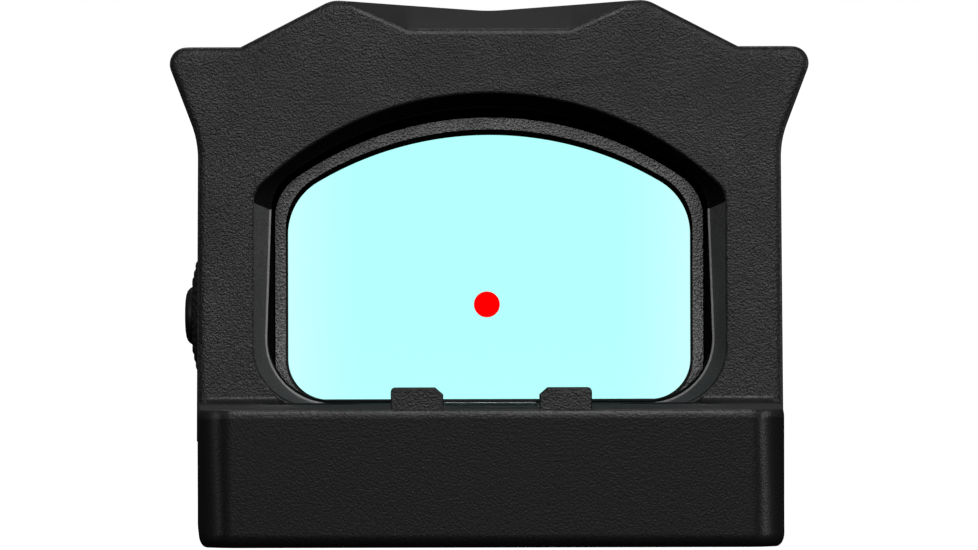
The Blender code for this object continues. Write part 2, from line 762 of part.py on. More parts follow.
def button_parts():
    rim = BUTTON_PROUD
    surround_profile = [
        (SURROUND_R, 0.0),
        (SURROUND_R, -1.6),
        (BUTTON_R + 0.07, -1.6),
        (BUTTON_R + 0.07, 0.36),
        (BUTTON_R + 0.22, 0.36),
        (BUTTON_R + 0.22, 0.25),
        (BUTTON_R + 0.52, 0.20),
        (BUTTON_R + 0.52, 0.10),
    ]
    surround = turned("button_surround", surround_profile, BUTTON, "-x", 32, closed=True)
    dome = [(0, rim), (0.8, rim - 0.04), (1.3, rim - 0.16), (BUTTON_R - 0.08, rim - 0.4)]
    dome += [(BUTTON_R, rim - 0.6), (BUTTON_R, -1.15), (0, -1.15)]
    button = turned("power_button", dome, BUTTON, "-x", 32)
    seal = rod("button_seal", SURROUND_R - 0.02, BUTTON + Vector((1.73, 0, 0)), "-x", 0.08, 24)
    low = BUTTON + Vector((1.9, -1.5, -1.5))
    switch = box("tactile_switch", low, low + Vector((0.55, 3.0, 3.0)))
    nub = rod("switch_nub", 0.7, low + Vector((0.2, 1.5, 1.5)), "-x", 0.33, 16, TOOLS)
    join(switch, nub)
    run = [(-7.4, 3.2), (8.6, 3.2), (8.6, 9.9), (7.4, 9.9), (7.4, 4.4), (-7.4, 4.4)]
    flex = prism("switch_flex", [[Vector(p) for p in run]], "yz", -12.95, -12.83)
    dress("plastic", surround, switch)
    dress("rubber", button, seal)
    dress("polyimide", flex)


# Electronics


def electronics():
    half, rear, front = POCKET
    outline = rectangle(-half + 2.3, half - 2.3, rear + 0.15, front - 0.15, 0.3)
    holes = [circle(x, y, 0.65, 12) for x, y in board_screw_places()]
    board = prism("control_board", [outline, *holes], "xy", *BOARD_Z)
    top = BOARD_Z[1] + 0.02
    chip = box("microcontroller", (-7.6, -14.0, top), (-3.6, -10.0, top + 0.8))
    plug = box("flex_connector", (-8.9, -9.4, top), (-6.3, -6.7, top + 0.9))
    round_edges(chip, 0.08, 1)
    dress("board", board)
    dress("plastic", chip, plug)


def cover_parts():
    half, rear, front = POCKET
    plate = rectangle(-half - 1.1, half + 1.1, rear - 0.9, front + 0.8, 1.5)
    holes = [circle(x, y, 0.7, 16) for x, y in cover_screw_places()]
    cover = prism("bottom_cover", [plate, *holes], "xy", 0.0, COVER_THICK)
    for number, (x, y) in enumerate(cover_screw_places()):
        cut(cover, rod(f"cover_sink_{number}", 1.2, (x, y, 0.5), "-z", 1.0, 20, TOOLS))
    outer = rectangle(-half - 1.0, half + 1.0, rear - 0.8, front + 0.7, 1.4)
    inner = rectangle(-half - 0.05, half + 0.05, rear - 0.05, front + 0.05, 1.0)
    gasket = prism("bottom_gasket", [outer, inner], "xy", COVER_THICK + 0.02, COVER_RIM - 0.02)
    dress("anodised", cover)
    dress("rubber", gasket)


def screw(name, place, axis, head_radius, head_height, shaft_length, drive_depth):
    """A small machine screw with a hexagonal drive, its head pointing along the axis."""
    profile = (
        (0, head_height),
        (head_radius, head_height),
        (head_radius, 0),
        (0.5, 0),
        (0.5, -shaft_length),
        (0, -shaft_length),
    )
    body = turned(name, profile, place, axis, 16)
    outward = Vector(body.rotation_euler.to_matrix() @ Vector((0, 0, 1)))
    start = Vector(place) + outward * (head_height - drive_depth)
    drive = rod(f"{name}_drive", head_radius * 0.45, start, axis, 2, 6, TOOLS)
    cut(body, drive)
    dress("black_steel", body)
    return body


def fasteners():
    for number, (x, y) in enumerate(cover_screw_places(), 1):
        screw(f"bottom_cover_screw_{number}", (x, y, 0.48), "-z", 1.12, 0.4, 2.6, 0.25)
    for side, (x, y) in zip(("left", "right"), board_screw_places()):
        screw(f"board_screw_{side}", (x, y, BOARD_Z[0] - 0.02), "-z", 1.0, 0.2, 1.6, 0.12)


# Battery


def battery_parts():
    low, high = BAY_Y - BAY_HALF + 0.15, BAY_Y + BAY_HALF - 0.15
    tray = box("battery_tray", (-8.4, low, BAY_Z[0] + 0.1), (CAP_X + 0.3, high, 4.6))
    plug = box("tray_plug", (CAP_X - 2.2, low, BAY_Z[0] + 0.1), (CAP_X + 0.3, high, 5.1), TOOLS)
    face = rectangle(CAP_Y[0] + 0.1, CAP_Y[1] - 0.1, CAP_Z[0] + 0.1, CAP_Z[1] - 0.1, 0.9)
    cap = prism("tray_cap", [face], "yz", CAP_X + GAP, SIDE_X, TOOLS)
    pocket = rod("cell_pocket", CELL_R + 0.12, (0, BAY_Y, 1.5), "+z", 6, 40, TOOLS)
    sink = rod("tray_screw_sink", 1.3, TRAY_SCREW, "+x", 3, 20, TOOLS)
    hole = rod("tray_screw_hole", 0.6, TRAY_SCREW - Vector((2, 0, 0)), "+x", 4, 16, TOOLS)
    join(tray, plug, cap)
    cut(tray, pocket, sink, hole)
    cell = rod("coin_cell", CELL_R, (0, BAY_Y, 1.53), "+z", CELL_THICK, 40)
    round_edges(cell, 0.25, 2)
    inner = rectangle(low - 0.03, high + 0.03, BAY_Z[0] + 0.07, 5.13, 0.0)
    outer = rectangle(low - 0.42, high + 0.42, BAY_Z[0] - 0.16, 5.42, 0.4)
    seal = prism("tray_seal", [outer, inner], "yz", CAP_X - 0.35, CAP_X)
    screw("tray_screw", TRAY_SCREW + Vector((0.03, 0, 0)), "+x", 1.2, 0.75, 3.4, 0.5)
    dress("anodised", tray)
    dress("steel", cell)
    dress("rubber", seal)


def contacts():
    run = [(-6.5, 1.8), (-6.3, 1.8), (-6.3, 4.8), (8.5, 4.8), (9.2, 4.76), (10.0, 4.85)]
    run += [(10.0, 5.0), (9.2, 4.92), (8.5, 5.0), (-6.5, 5.0)]
    leaf = prism("battery_contact", [[Vector(p) for p in run]], "yz", -5.3, -3.7)
    bow = [(4.8, BAY_END + 0.05), (9.6, BAY_END + 0.2), (14.4, BAY_END + 0.05)]
    outline = bow + [(y, x + 0.15) for y, x in reversed(bow)]
    spring = prism("ground_spring", [[Vector((x, y)) for y, x in outline]], "xy", 1.4, 4.2)
    dress("brass", leaf)
    dress("steel", spring)


for old in list(bpy.data.objects):
    bpy.data.objects.remove(old)
PARTS = bpy.data.collections.new("red_dot_sight")
TOOLS = bpy.data.collections.new("cutters")
for group in (PARTS, TOOLS):
    bpy.context.scene.collection.children.link(group)
MATERIALS = {name: surface(name) for name in SURFACES}

housing()
optics()
emitter_window()
led_parts()
elevation_carriage()
adjusters()
windage_nut()
button_parts()
electronics()
cover_parts()
fasteners()
battery_parts()
contacts()
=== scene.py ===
"""The looks of an open reflex red dot sight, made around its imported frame.

The frame is in metres. The shapes here are written in millimetres and scaled as they
are made, with +Z up and +Y the way the shooter looks.
"""

import math

import bmesh
import bpy
from mathutils import Matrix, Quaternion, Vector


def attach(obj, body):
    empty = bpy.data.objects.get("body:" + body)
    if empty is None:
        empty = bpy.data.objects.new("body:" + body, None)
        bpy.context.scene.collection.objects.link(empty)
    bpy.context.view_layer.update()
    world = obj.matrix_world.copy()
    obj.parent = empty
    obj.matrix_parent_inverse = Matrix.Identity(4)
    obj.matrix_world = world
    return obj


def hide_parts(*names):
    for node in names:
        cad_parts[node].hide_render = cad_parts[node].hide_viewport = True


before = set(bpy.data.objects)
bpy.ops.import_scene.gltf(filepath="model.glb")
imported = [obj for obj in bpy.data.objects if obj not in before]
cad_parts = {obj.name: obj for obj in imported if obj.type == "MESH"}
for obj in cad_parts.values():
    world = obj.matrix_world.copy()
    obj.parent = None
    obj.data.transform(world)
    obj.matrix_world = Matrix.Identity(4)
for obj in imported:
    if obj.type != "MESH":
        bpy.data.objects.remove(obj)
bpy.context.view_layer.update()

MM = 0.001
WELD = 0.000002  # metres
CIRCLE, BORE = 72, 48  # points round a turned piece and round a bore
ARCH_STEPS, EDGE_STEPS = 14, 6  # steps of each corner of a window and of a rounded edge
SHARP_EDGE = math.radians(60)

# Base block
REAR, FRONT = -22.5, 22.5
BASE_HALF, REAR_HALF, REAR_FACE_HALF = 15.26, 15.0, 13.25
FACET_HALF, FACET_DEPTH, SIDE_DEPTH = 14.10, 0.45, 1.9  # the two facets of each rear corner
FRONT_CORNER, FRONT_ROUND = 1.0, 0.5
DECK = 7.06
UNDER_EDGE, BASE_EDGE, HOOD_EDGE = (0.45, 0.7), (0.11, 0.45), (0.45, 0.20)
NOSE_DROP, NOSE_LENGTH = 1.1, 4.6

# Hood
PEAK_X, PEAK_Z, DIP_Z = 8.2, 28.06, 27.47
EAR_HALF, EAR_Z, EAR_INNER = 17.08, 25.6, 13.0
HOOD_HALF, FLANK_HALF, FLANK_Z = 15.3, 15.215, 20.7
HOOD_REAR, HOOD_FRONT = 1.0, 17.5
REAR_LEAN, FRONT_LEAN = 0.105, -0.095
FOOT_FILLET = 0.35
NOTCH_FLOOR_HALF, NOTCH_FLOOR_Z = 4.19, 26.53
NOTCH_HALF, NOTCH_TOP_Z = 7.35, 27.9
NOTCH_REAR, NOTCH_EDGE = 3.0, (0.28, 0.10)
NOTCH_RISE = math.atan2(1.3, 11.0)

# Window outlines: half width, bottom, top, then foot, shoulder and crown radius
MOUTH = (12.30, 6.9, 23.16, 3.05, 1.35, 17.35)
TUNNEL = (11.50, 6.9, 22.50, 3.55, 2.30, 17.60)
GLASS_SEEN = (10.57, 7.05, 20.95, 2.10, 3.19, 17.70)
BEZEL_OUTER = (11.25, 6.32, 21.88, 2.80, 2.60, 17.90)
BEZEL_INNER = (10.69, 6.90, 21.25, 2.20, 3.05, 17.75)
CHAMFER_DEPTH, MOUTH_EDGE, LIP = 1.6, (0.16, 0.08), 0.10
TUNNEL_SPREAD, SHOULDER = 0.003, 17.0  # below its shoulders the tunnel widens towards its foot
BEZEL_Y, SEAL_Y, LENS_Y, LIP_Y = 11.2, 12.0, 12.3, 15.15
LENS_LIP, SEAT_SIDE = 0.6, 0.08
COATING_SIDE = (6.6, 10.6)  # the coating turns paler between these distances from the middle
DOT_PLACE, DOT_RADIUS = Vector((-0.123, 12.2, 12.04)), 0.685

# Deck details
LUG_INNER, LUG_WIDTH, LUG_TOP, LUG_Y = 2.46, 2.69, 8.17, (-22.25, -19.6)
TROUGH_HALF, TROUGH_REAR, TROUGH_END = 2.4, -9.3, 11.3
TROUGH_FLOOR, TROUGH_KNEE = 5.05, (0.6, 5.95)
BEAM_TILT = math.radians(19.5)
ELEVATION = Vector((0, -16.5, 5.9))
WINDAGE = Vector((13.7, -10.8, 3.0))
SHAFT_R, HEAD_R, GAP = 0.7, 1.7, 0.05
HEAD_TOP, HEAD_FOOT, SLOT_HALF = 1.15, 0.45, 0.22  # of an adjuster's head

# Bays
POCKET, POCKET_ROOF, COVER_RIM, COVER_THICK = (11.5, -20.5, -6.0), 5.2, 1.1, 0.9
BAY_Y, BAY_HALF, BAY_Z, BAY_END = 9.6, 9.0, (0.9, 5.2), -8.9
CAP_X, SIDE_X, CAP_Y, CAP_Z = 13.5, 15.2, (-0.2, 21.3), (0.6, 5.9)
CELL_R, CELL_THICK = 8.0, 3.2
TRAY_SCREW = Vector((14.05, 20.0, 3.2))
BUTTON = Vector((-15.25, 8.0, 11.53))
SURROUND_R, BUTTON_R, BUTTON_PROUD, BUTTON_BORE = 2.65, 1.68, 0.72, 2.55
BEADS_OUTER, BEADS_INNER, BEAD_ROWS, BEAD_COUNT = 2.85, 1.72, (2.70, 2.28, 1.88), 30
MOUNT_X, MOUNT_Y, MOUNT_R, MOUNT_HEAD_R, MOUNT_HEAD_Z = 9.45, -2.7, 1.6, 2.6, 4.5

# Stage
WHITE, BACKDROP = (1, 1, 1, 1), 1.004  # a little over white, so that it stays white
SKY = (0.02, 0.15)  # its strength near the horizon and overhead
FLOOR_REACH, FLOOR_GREY, FLOOR_DIM = 20.0, (0.6, 0.6, 0.6, 1), (0.02, 0.02, 0.02, 1)
MIDDLE = Vector((0, 0, 14))  # where the lights point
WIDE, NARROW = math.pi, math.radians(30)
LIGHTS = {  # place and size in millimetres, power in watts, and spread
    "key": ((40, -700, 386), 220, 1.68, WIDE),
    "right_fill": ((640, -160, 120), 160, 0.72, WIDE),
    "left_fill": ((-660, -60, 120), 160, 0.24, WIDE),
    "front_card": ((-40, -1300, 50), 360, 0.12, WIDE),
    "top_fill": ((-60, 320, 760), 160, 0.04, NARROW),
}
AIM = Vector((-0.11, REAR, 13.95))  # where the camera points
CAMERA_DISTANCE, LENS_LENGTH, SENSOR = 1187.0, 854.7, 36.0
NEAR, FAR = 0.05, 100.0  # metres
TILT, YAW, ROLL = math.radians(0.6), math.radians(0.17), math.radians(0.13)

PLANES = {
    "xy": (Matrix(((1, 0, 0), (0, 1, 0), (0, 0, 1))), Vector((0, 0, 1))),
    "xz": (Matrix(((1, 0, 0), (0, 0, -1), (0, 1, 0))), Vector((0, 1, 0))),
    "yz": (Matrix(((0, 0, 1), (1, 0, 0), (0, 1, 0))), Vector((1, 0, 0))),
}
TO_AXIS = {
    "+x": Matrix.Rotation(math.pi / 2, 4, "Y"),
    "-x": Matrix.Rotation(-math.pi / 2, 4, "Y"),
    "+z": Matrix.Identity(4),
    "-z": Matrix.Rotation(math.pi, 4, "X"),
}


# Outlines


def arc(centre, radius, start, end, steps):
    angles = [start + (end - start) * k / steps for k in range(steps + 1)]
    return [Vector((centre[0] + radius * math.cos(a), centre[1] + radius * math.sin(a))) for a in angles]


def rounded_outline(corners, steps=8):
    """A closed outline whose corners, each (x, y, radius), are rounded with arcs."""
    points = []
    for place, (x, y, radius) in enumerate(corners):
        corner = Vector((x, y))
        if radius == 0:
            points.append(corner)
            continue
        back = (Vector(corners[place - 1][:2]) - corner).normalized()
        ahead = (Vector(corners[(place + 1) % len(corners)][:2]) - corner).normalized()
        half = back.angle(ahead) / 2
        centre = corner + (back + ahead).normalized() * radius / math.sin(half)
        reach = radius / math.tan(half)
        first = corner + back * reach - centre
        last = corner + ahead * reach - centre
        start = math.atan2(first.y, first.x)
        sweep = math.atan2(last.y, last.x) - start
        sweep = (sweep + math.pi) % (2 * math.pi) - math.pi
        points += arc(centre, radius, start, start + sweep, steps)
    return points


def rectangle(low_x, high_x, low_y, high_y, radius):
    corners = ((low_x, low_y), (high_x, low_y), (high_x, high_y), (low_x, high_y))
    return rounded_outline([(x, y, radius) for x, y in corners])


def circle(x, y, radius, steps=32):
    return arc((x, y), radius, 0, 2 * math.pi * (1 - 1 / steps), steps - 1)


def arch(half, bottom, top, foot_radius, shoulder_radius, crown_radius):
    """A window outline: round feet, upright sides, round shoulders and an arched crown."""
    crown = top - crown_radius
    shoulder_x = half - shoulder_radius
    shoulder_z = crown + math.sqrt((crown_radius - shoulder_radius) ** 2 - shoulder_x**2)
    turn = math.atan2(shoulder_z - crown, shoulder_x)
    foot = arc((half - foot_radius, bottom + foot_radius), foot_radius, -math.pi / 2, 0, ARCH_STEPS)
    shoulder = arc((shoulder_x, shoulder_z), shoulder_radius, 0, turn, ARCH_STEPS)
    side = foot + shoulder
    over = arc((0, crown), crown_radius, turn, math.pi - turn, 3 * ARCH_STEPS)[1:-1]
    return side + over + [Vector((-p.x, p.y)) for p in reversed(side)]


def grown(shape, amount):
    half, bottom, top, foot_radius, shoulder_radius, crown_radius = shape
    radii = (foot_radius + amount, shoulder_radius + amount, crown_radius + amount)
    return (half + amount, bottom - amount, top + amount, *radii)


def mirrored(half_outline):
    return half_outline + [(-x, y, radius) for x, y, radius in reversed(half_outline) if x]


def inset(corners, amount):
    """The same corners moved inwards, with radii that keep the rounded outline parallel."""
    moved = []
    for place, (x, y, radius) in enumerate(corners):
        corner = Vector((x, y))
        back = (corner - Vector(corners[place - 1][:2])).normalized()
        ahead = (Vector(corners[(place + 1) % len(corners)][:2]) - corner).normalized()
        inward = Vector((-back.y - ahead.y, back.x + ahead.x)) / (1 + back.dot(ahead))
        if radius:
            radius -= math.copysign(amount, back.cross(ahead))
        moved.append((*(corner + inward * amount), radius))
    return moved


def quarter_turn(reach, depth):
    """Pairs of depth and inset that round an edge off, from its face to its side."""
    angles = [math.pi / 2 * k / EDGE_STEPS for k in range(EDGE_STEPS + 1)]
    return [(depth * (1 - math.cos(a)), reach * (1 - math.sin(a))) for a in angles]


# Meshes


def register(name, mesh):
    shape = bpy.data.objects.new(name, mesh)
    bpy.context.scene.collection.objects.link(shape)
    return shape


def from_bmesh(name, work):
    mesh = bpy.data.meshes.new(name)
    work.to_mesh(mesh)
    work.free()
    return register(name, mesh)


def evaluated_mesh(shape):
    bpy.context.view_layer.update()
    graph = bpy.context.evaluated_depsgraph_get()
    return bpy.data.meshes.new_from_object(shape.evaluated_get(graph))


def prism(name, outlines, plane, low, high):
    """A flat outline, less the holes that follow it, made solid from low to high."""
    curve = bpy.data.curves.new(name, "CURVE")
    curve.dimensions = "2D"
    curve.fill_mode = "BOTH"
    curve.extrude = (high - low) / 2 * MM
    for outline in outlines:
        spline = curve.splines.new("POLY")
        spline.points.add(len(outline) - 1)
        for point, (x, y) in zip(spline.points, outline):
            point.co = (x * MM, y * MM, 0, 1)
        spline.use_cyclic_u = True
    turn, axis = PLANES[plane]
    drawn = register(name, curve)
    drawn.matrix_world = Matrix.Translation(axis * (low + high) / 2 * MM) @ turn.to_4x4()
    mesh = evaluated_mesh(drawn)
    mesh.transform(drawn.matrix_world)
    bpy.data.curves.remove(curve)
    work = bmesh.new()
    work.from_mesh(mesh)
    bmesh.ops.remove_doubles(work, verts=work.verts, dist=WELD)
    bmesh.ops.dissolve_limit(work, angle_limit=0.001, verts=work.verts, edges=work.edges)
    bmesh.ops.recalc_face_normals(work, faces=work.faces)
    work.to_mesh(mesh)
    work.free()
    return register(name, mesh)


def loft(name, loops):
    """A closed solid through loops of equally many points, capped at both ends."""
    work = bmesh.new()
    rims = [[work.verts.new(point * MM) for point in loop] for loop in loops]
    for near, far in zip(rims, rims[1:]):
        for k in range(len(near)):
            work.faces.new((near[k - 1], near[k], far[k], far[k - 1]))
    work.faces.new(rims[0])
    work.faces.new(rims[-1])
    work.normal_update()
    bmesh.ops.triangulate(work, faces=work.faces)
    bmesh.ops.recalc_face_normals(work, faces=work.faces)
    return from_bmesh(name, work)


def rounded_slab(name, corners, plane, low, high, low_edge, high_edge, steps):
    """An outline made solid from low to high, its edges at both ends rounded."""
    turn, axis = PLANES[plane]
    near = [(low + depth, amount) for depth, amount in quarter_turn(*low_edge)]
    far = [(high - depth, amount) for depth, amount in reversed(quarter_turn(*high_edge))]
    loops = []
    for depth, amount in near + far:
        outline = rounded_outline(inset(corners, amount), steps)
        loops.append([turn @ Vector((*point, 0)) + axis * depth for point in outline])
    return loft(name, loops)


def box(name, low, high):
    work = bmesh.new()
    bmesh.ops.create_cube(work, size=1)
    size = Vector(high) - Vector(low)
    middle = (Vector(low) + Vector(high)) / 2
    bmesh.ops.scale(work, vec=size * MM, verts=work.verts)
    bmesh.ops.translate(work, vec=middle * MM, verts=work.verts)
    return from_bmesh(name, work)


def spun(name, profile, start, axis, steps=CIRCLE):
    """A profile of (radius, height), top to bottom down its outer side, spun about an axis."""
    work = bmesh.new()
    rings = []
    for radius, height in profile:
        if radius == 0:
            rings.append([work.verts.new((0, 0, height * MM))])
            continue
        ring = []
        for k in range(steps):
            angle = 2 * math.pi * k / steps
            place = (radius * math.cos(angle), radius * math.sin(angle), height)
            ring.append(work.verts.new(Vector(place) * MM))
        rings.append(ring)
    for upper, lower in zip(rings, rings[1:]):
        for k in range(steps):
            corners = (
                upper[k % len(upper)],
                lower[k % len(lower)],
                lower[(k + 1) % len(lower)],
                upper[(k + 1) % len(upper)],
            )
            work.faces.new(dict.fromkeys(corners))
    bmesh.ops.recalc_face_normals(work, faces=work.faces)
    bmesh.ops.transform(work, matrix=placing(start, axis), verts=work.verts)
    return from_bmesh(name, work)


def placing(start, axis):
    return Matrix.Translation(Vector(start) * MM) @ TO_AXIS[axis]


def rod(name, radius, start, axis, length, steps=BORE):
    profile = ((0, length), (radius, length), (radius, 0), (0, 0))
    return spun(name, profile, start, axis, steps)


def sunk_rim(name, radius, rim, start, axis, length):
    """A cutter for a round hole with a small chamfer where it meets a face at `start`."""
    profile = ((0, rim), (radius + 2 * rim, rim), (radius, -rim), (radius, -length), (0, -length))
    return spun(name, profile, start, axis, BORE)


def combine(target, tool, operation):
    step = target.modifiers.new(tool.name, "BOOLEAN")
    step.object = tool
    step.operation = operation
    step.solver = "EXACT"
    step.material_mode = "TRANSFER"


def cut(target, *tools):
    for tool in tools:
        combine(target, tool, "DIFFERENCE")
    return apply_all(target)


def join(target, *tools):
    for tool in tools:
        combine(target, tool, "UNION")
    return apply_all(target)


def apply_all(target):
    """Turns a shape's modifiers into its mesh, and removes the shapes that they used."""
    tools = [step.object for step in target.modifiers if step.type == "BOOLEAN"]
    mesh = evaluated_mesh(target)
    target.modifiers.clear()
    target.data = mesh
    for tool in tools:
        bpy.data.objects.remove(tool)
    return target


def round_edges(shape, width, segments):
    bevel = shape.modifiers.new("edges", "BEVEL")
    bevel.width = width * MM
    bevel.segments = segments
    bevel.limit_method = "ANGLE"
    bevel.angle_limit = SHARP_EDGE
    return apply_all(shape)


def smooth(shape, angle=32):
    """Smooth shading that keeps flat faces flat and edges crisp."""
    shape.data.shade_smooth()
    shape.data.set_sharp_from_angle(angle=math.radians(angle))
    weighted = shape.modifiers.new("normals", "WEIGHTED_NORMAL")
    weighted.keep_sharp = True
    return shape


# Materials


class Nodes:
    """A short way to add shader nodes and join them up."""

    def __init__(self, owner):
        self.owner = owner
        owner.use_nodes = True
        self.tree = owner.node_tree
        self.shader = self.tree.nodes.get("Principled BSDF")

    def add(self, kind, **values):
        node = self.tree.nodes.new(kind)
        for key, value in values.items():
            if key in node.inputs:
                node.inputs[key].default_value = value
            else:
                setattr(node, key, value)
        return node

    def link(self, source, target):
        self.tree.links.new(source, target)

    def coordinates(self):
        return self.add("ShaderNodeTexCoord").outputs["Object"]

    def noise(self, scale, detail, roughness=0.6, stretch=None):
        """Object-space noise; the scale is in features for each millimetre."""
        place = self.coordinates()
        if stretch:
            mapping = self.add("ShaderNodeMapping", Scale=stretch)
            self.link(place, mapping.inputs["Vector"])
            place = mapping.outputs["Vector"]
        texture = self.add("ShaderNodeTexNoise", Scale=scale / MM, Detail=detail, Roughness=roughness)
        self.link(place, texture.inputs["Vector"])
        return texture.outputs["Fac"]

    def ramp(self, source, low, high, start, end):
        """Maps a value from low..high to start..end, held at both ends."""
        node = self.add("ShaderNodeMapRange", clamp=True)
        values = {"From Min": low, "From Max": high, "To Min": start, "To Max": end}
        for key, value in values.items():
            node.inputs[key].default_value = value
        self.link(source, node.inputs["Value"])
        return node.outputs["Result"]

    def maths(self, operation, first, second=None):
        node = self.add("ShaderNodeMath", operation=operation)
        for socket, value in zip(node.inputs, (first, second)):
            if isinstance(value, (int, float)):
                socket.default_value = value
            elif value is not None:
                self.link(value, socket)
        return node.outputs["Value"]

    def tint(self, share, one, other):
        node = self.add("ShaderNodeMix", data_type="RGBA")
        for socket, value in (("A", one), ("B", other)):
            colour = [s for s in node.inputs if s.name == socket and s.type == "RGBA"][0]
            colour.default_value = (*value, 1)
        self.link(share, node.inputs["Factor"])
        return [s for s in node.outputs if s.type == "RGBA"][0]

    def mixed(self, share, one, other):
        node = self.add("ShaderNodeMixShader")
        for socket, source in zip(node.inputs, (share, one, other)):
            self.link(source, socket)
        return node.outputs["Shader"]

    def bump(self, height, depth):
        """Raises the surface by up to depth, in millimetres."""
        node = self.add("ShaderNodeBump", Strength=1.0, Distance=depth * MM)
        self.link(height, node.inputs["Height"])
        self.link(node.outputs["Normal"], self.shader.inputs["Normal"])


def grained(name, dark, light, roughness, grain, depth, painted_glints=0.0, metallic=0.0, shine=0.5):
    """Bead-blasted or moulded surface: fine pebbles, cloudy tone and a few bright specks painted in as
    glints of the grain.
    """
    nodes = Nodes(bpy.data.materials.new(name))
    nodes.shader.inputs["Metallic"].default_value = metallic
    nodes.shader.inputs["Specular IOR Level"].default_value = shine
    pebbles = nodes.noise(grain, 1.0, 0.5)
    cloud = nodes.noise(0.25, 4.0, 0.6)
    mottle = nodes.maths("ADD", pebbles, nodes.maths("MULTIPLY", cloud, 0.5))
    tone = nodes.ramp(mottle, 0.55, 0.95, 0, 1)
    if painted_glints:
        # painted glints: sparse bright specks in the tone stand in for highlights on the grain's tops
        glint_share = nodes.ramp(nodes.noise(grain * 1.3, 1.0, 0.4), 0.66, 0.78, 0.0, painted_glints)
        tone = nodes.maths("ADD", tone, glint_share)
    nodes.link(nodes.tint(tone, dark, light), nodes.shader.inputs["Base Color"])
    rough = nodes.ramp(cloud, 0.3, 0.7, roughness + 0.03, roughness - 0.03)
    nodes.link(rough, nodes.shader.inputs["Roughness"])
    nodes.bump(pebbles, depth)
    return nodes.owner


def brushed(name, dark, light, roughness, along):
    """Machined metal with fine marks that run along one axis."""
    nodes = Nodes(bpy.data.materials.new(name))
    stretch = [1.0, 1.0, 1.0]
    stretch["xyz".index(along)] = 0.04
    marks = nodes.noise(14.0, 3.0, 0.7, stretch)
    cloud = nodes.noise(0.4, 3.0, 0.6)
    tone = nodes.tint(nodes.ramp(marks, 0.3, 0.7, 0, 1), dark, light)
    nodes.link(tone, nodes.shader.inputs["Base Color"])
    both = nodes.maths("ADD", marks, cloud)
    rough = nodes.ramp(both, 0.6, 1.4, roughness - 0.1, roughness + 0.12)
    nodes.link(rough, nodes.shader.inputs["Roughness"])
    nodes.shader.inputs["Metallic"].default_value = 1.0
    nodes.bump(marks, 0.004)
    return nodes.owner


def lens_glass(name, middle, edge):
    """Coated glass whose tint is a little paler towards its two sides."""
    nodes = Nodes(bpy.data.materials.new(name))
    axes = nodes.add("ShaderNodeSeparateXYZ")
    nodes.link(nodes.coordinates(), axes.inputs["Vector"])
    side = nodes.maths("ABSOLUTE", axes.outputs["X"])
    share = nodes.ramp(side, COATING_SIDE[0] * MM, COATING_SIDE[1] * MM, 0, 1)
    tone = nodes.tint(nodes.maths("POWER", share, 1.6), middle, edge)
    nodes.link(tone, nodes.shader.inputs["Base Color"])
    haze = nodes.ramp(nodes.noise(0.2, 2.0), 0.3, 0.7, 0.0, 0.01)
    nodes.link(haze, nodes.shader.inputs["Roughness"])
    nodes.shader.inputs["Transmission Weight"].default_value = 1.0
    nodes.shader.inputs["IOR"].default_value = 1.12
    return nodes.owner


def lit_dot(name):
    nodes = Nodes(bpy.data.materials.new(name))
    nodes.shader.inputs["Base Color"].default_value = (0.0, 0.0, 0.0, 1)
    nodes.shader.inputs["Roughness"].default_value = 1.0
    nodes.shader.inputs["Specular IOR Level"].default_value = 0.0
    glow = nodes.ramp(nodes.noise(3.0, 2.0), 0.2, 0.8, 0.97, 1.0)
    mixed = nodes.tint(glow, (0.9, 0.0, 0.0), (1.0, 0.0, 0.0006))
    nodes.link(mixed, nodes.shader.inputs["Emission Color"])
    nodes.shader.inputs["Emission Strength"].default_value = 1.0
    return nodes.owner


# Finishes: dark tone, light tone, roughness, grains each mm, their depth, painted glints, metallic,
# shine
GRAINED = {
    "anodised": ((0.006, 0.006, 0.0062), (0.015, 0.015, 0.0155), 0.42, 9.5, 0.035, 3.0),
    "anodised_fine": ((0.006, 0.006, 0.0062), (0.014, 0.014, 0.0145), 0.42, 9.5, 0.016, 2.0),
    # painted highlight: a lighter tone for the base's top edge, the notch's rim and the hood's foot
    # fillet, standing in for the light these catch
    "painted_edge_highlight": ((0.018, 0.018, 0.0183), (0.044, 0.044, 0.0445), 0.38, 9.5, 0.02),
    # painted sheen: the deck's up-facing faces are lighter, standing in for the grazing light they catch
    "deck": ((0.012, 0.012, 0.0123), (0.026, 0.026, 0.0265), 0.42, 9.5, 0.02),
    # painted light: the mouth's chamfer band is a much lighter grey than the body, standing in for the
    # light it catches
    "painted_lit_flare": ((0.08, 0.08, 0.081), (0.16, 0.16, 0.161), 0.40, 9.5, 0.020),
    # painted highlight: the thin lip at the flare's inner edge is bright, standing in for the light line
    # along it
    "lip": ((0.36, 0.36, 0.364), (0.54, 0.54, 0.546), 0.30, 9.0, 0.006),
    # painted shade: a darker, duller black than the body, standing in for the shade inside the tunnel
    "tunnel_shade_black": ((0.003, 0.003, 0.003), (0.008, 0.008, 0.008), 0.8, 8.0, 0.02, 0.0, 0.0, 0.1),
    "bezel": ((0.40, 0.40, 0.405), (0.70, 0.70, 0.705), 0.17, 9.0, 0.010, 0.0, 1.0),
    "rubber": ((0.008, 0.008, 0.008), (0.020, 0.020, 0.020), 0.7, 5.0, 0.01),
    "button_rubber": ((0.004, 0.004, 0.004), (0.010, 0.010, 0.0105), 0.45, 5.0, 0.006),
    "black_plastic": ((0.008, 0.008, 0.008), (0.018, 0.018, 0.018), 0.45, 7.0, 0.010),
    "board": ((0.010, 0.060, 0.028), (0.020, 0.100, 0.045), 0.35, 4.0, 0.006),
    "polyimide": ((0.40, 0.18, 0.03), (0.60, 0.30, 0.07), 0.35, 3.0, 0.004),
    "package": ((0.55, 0.01, 0.01), (0.80, 0.02, 0.02), 0.3, 4.0, 0.004),
}
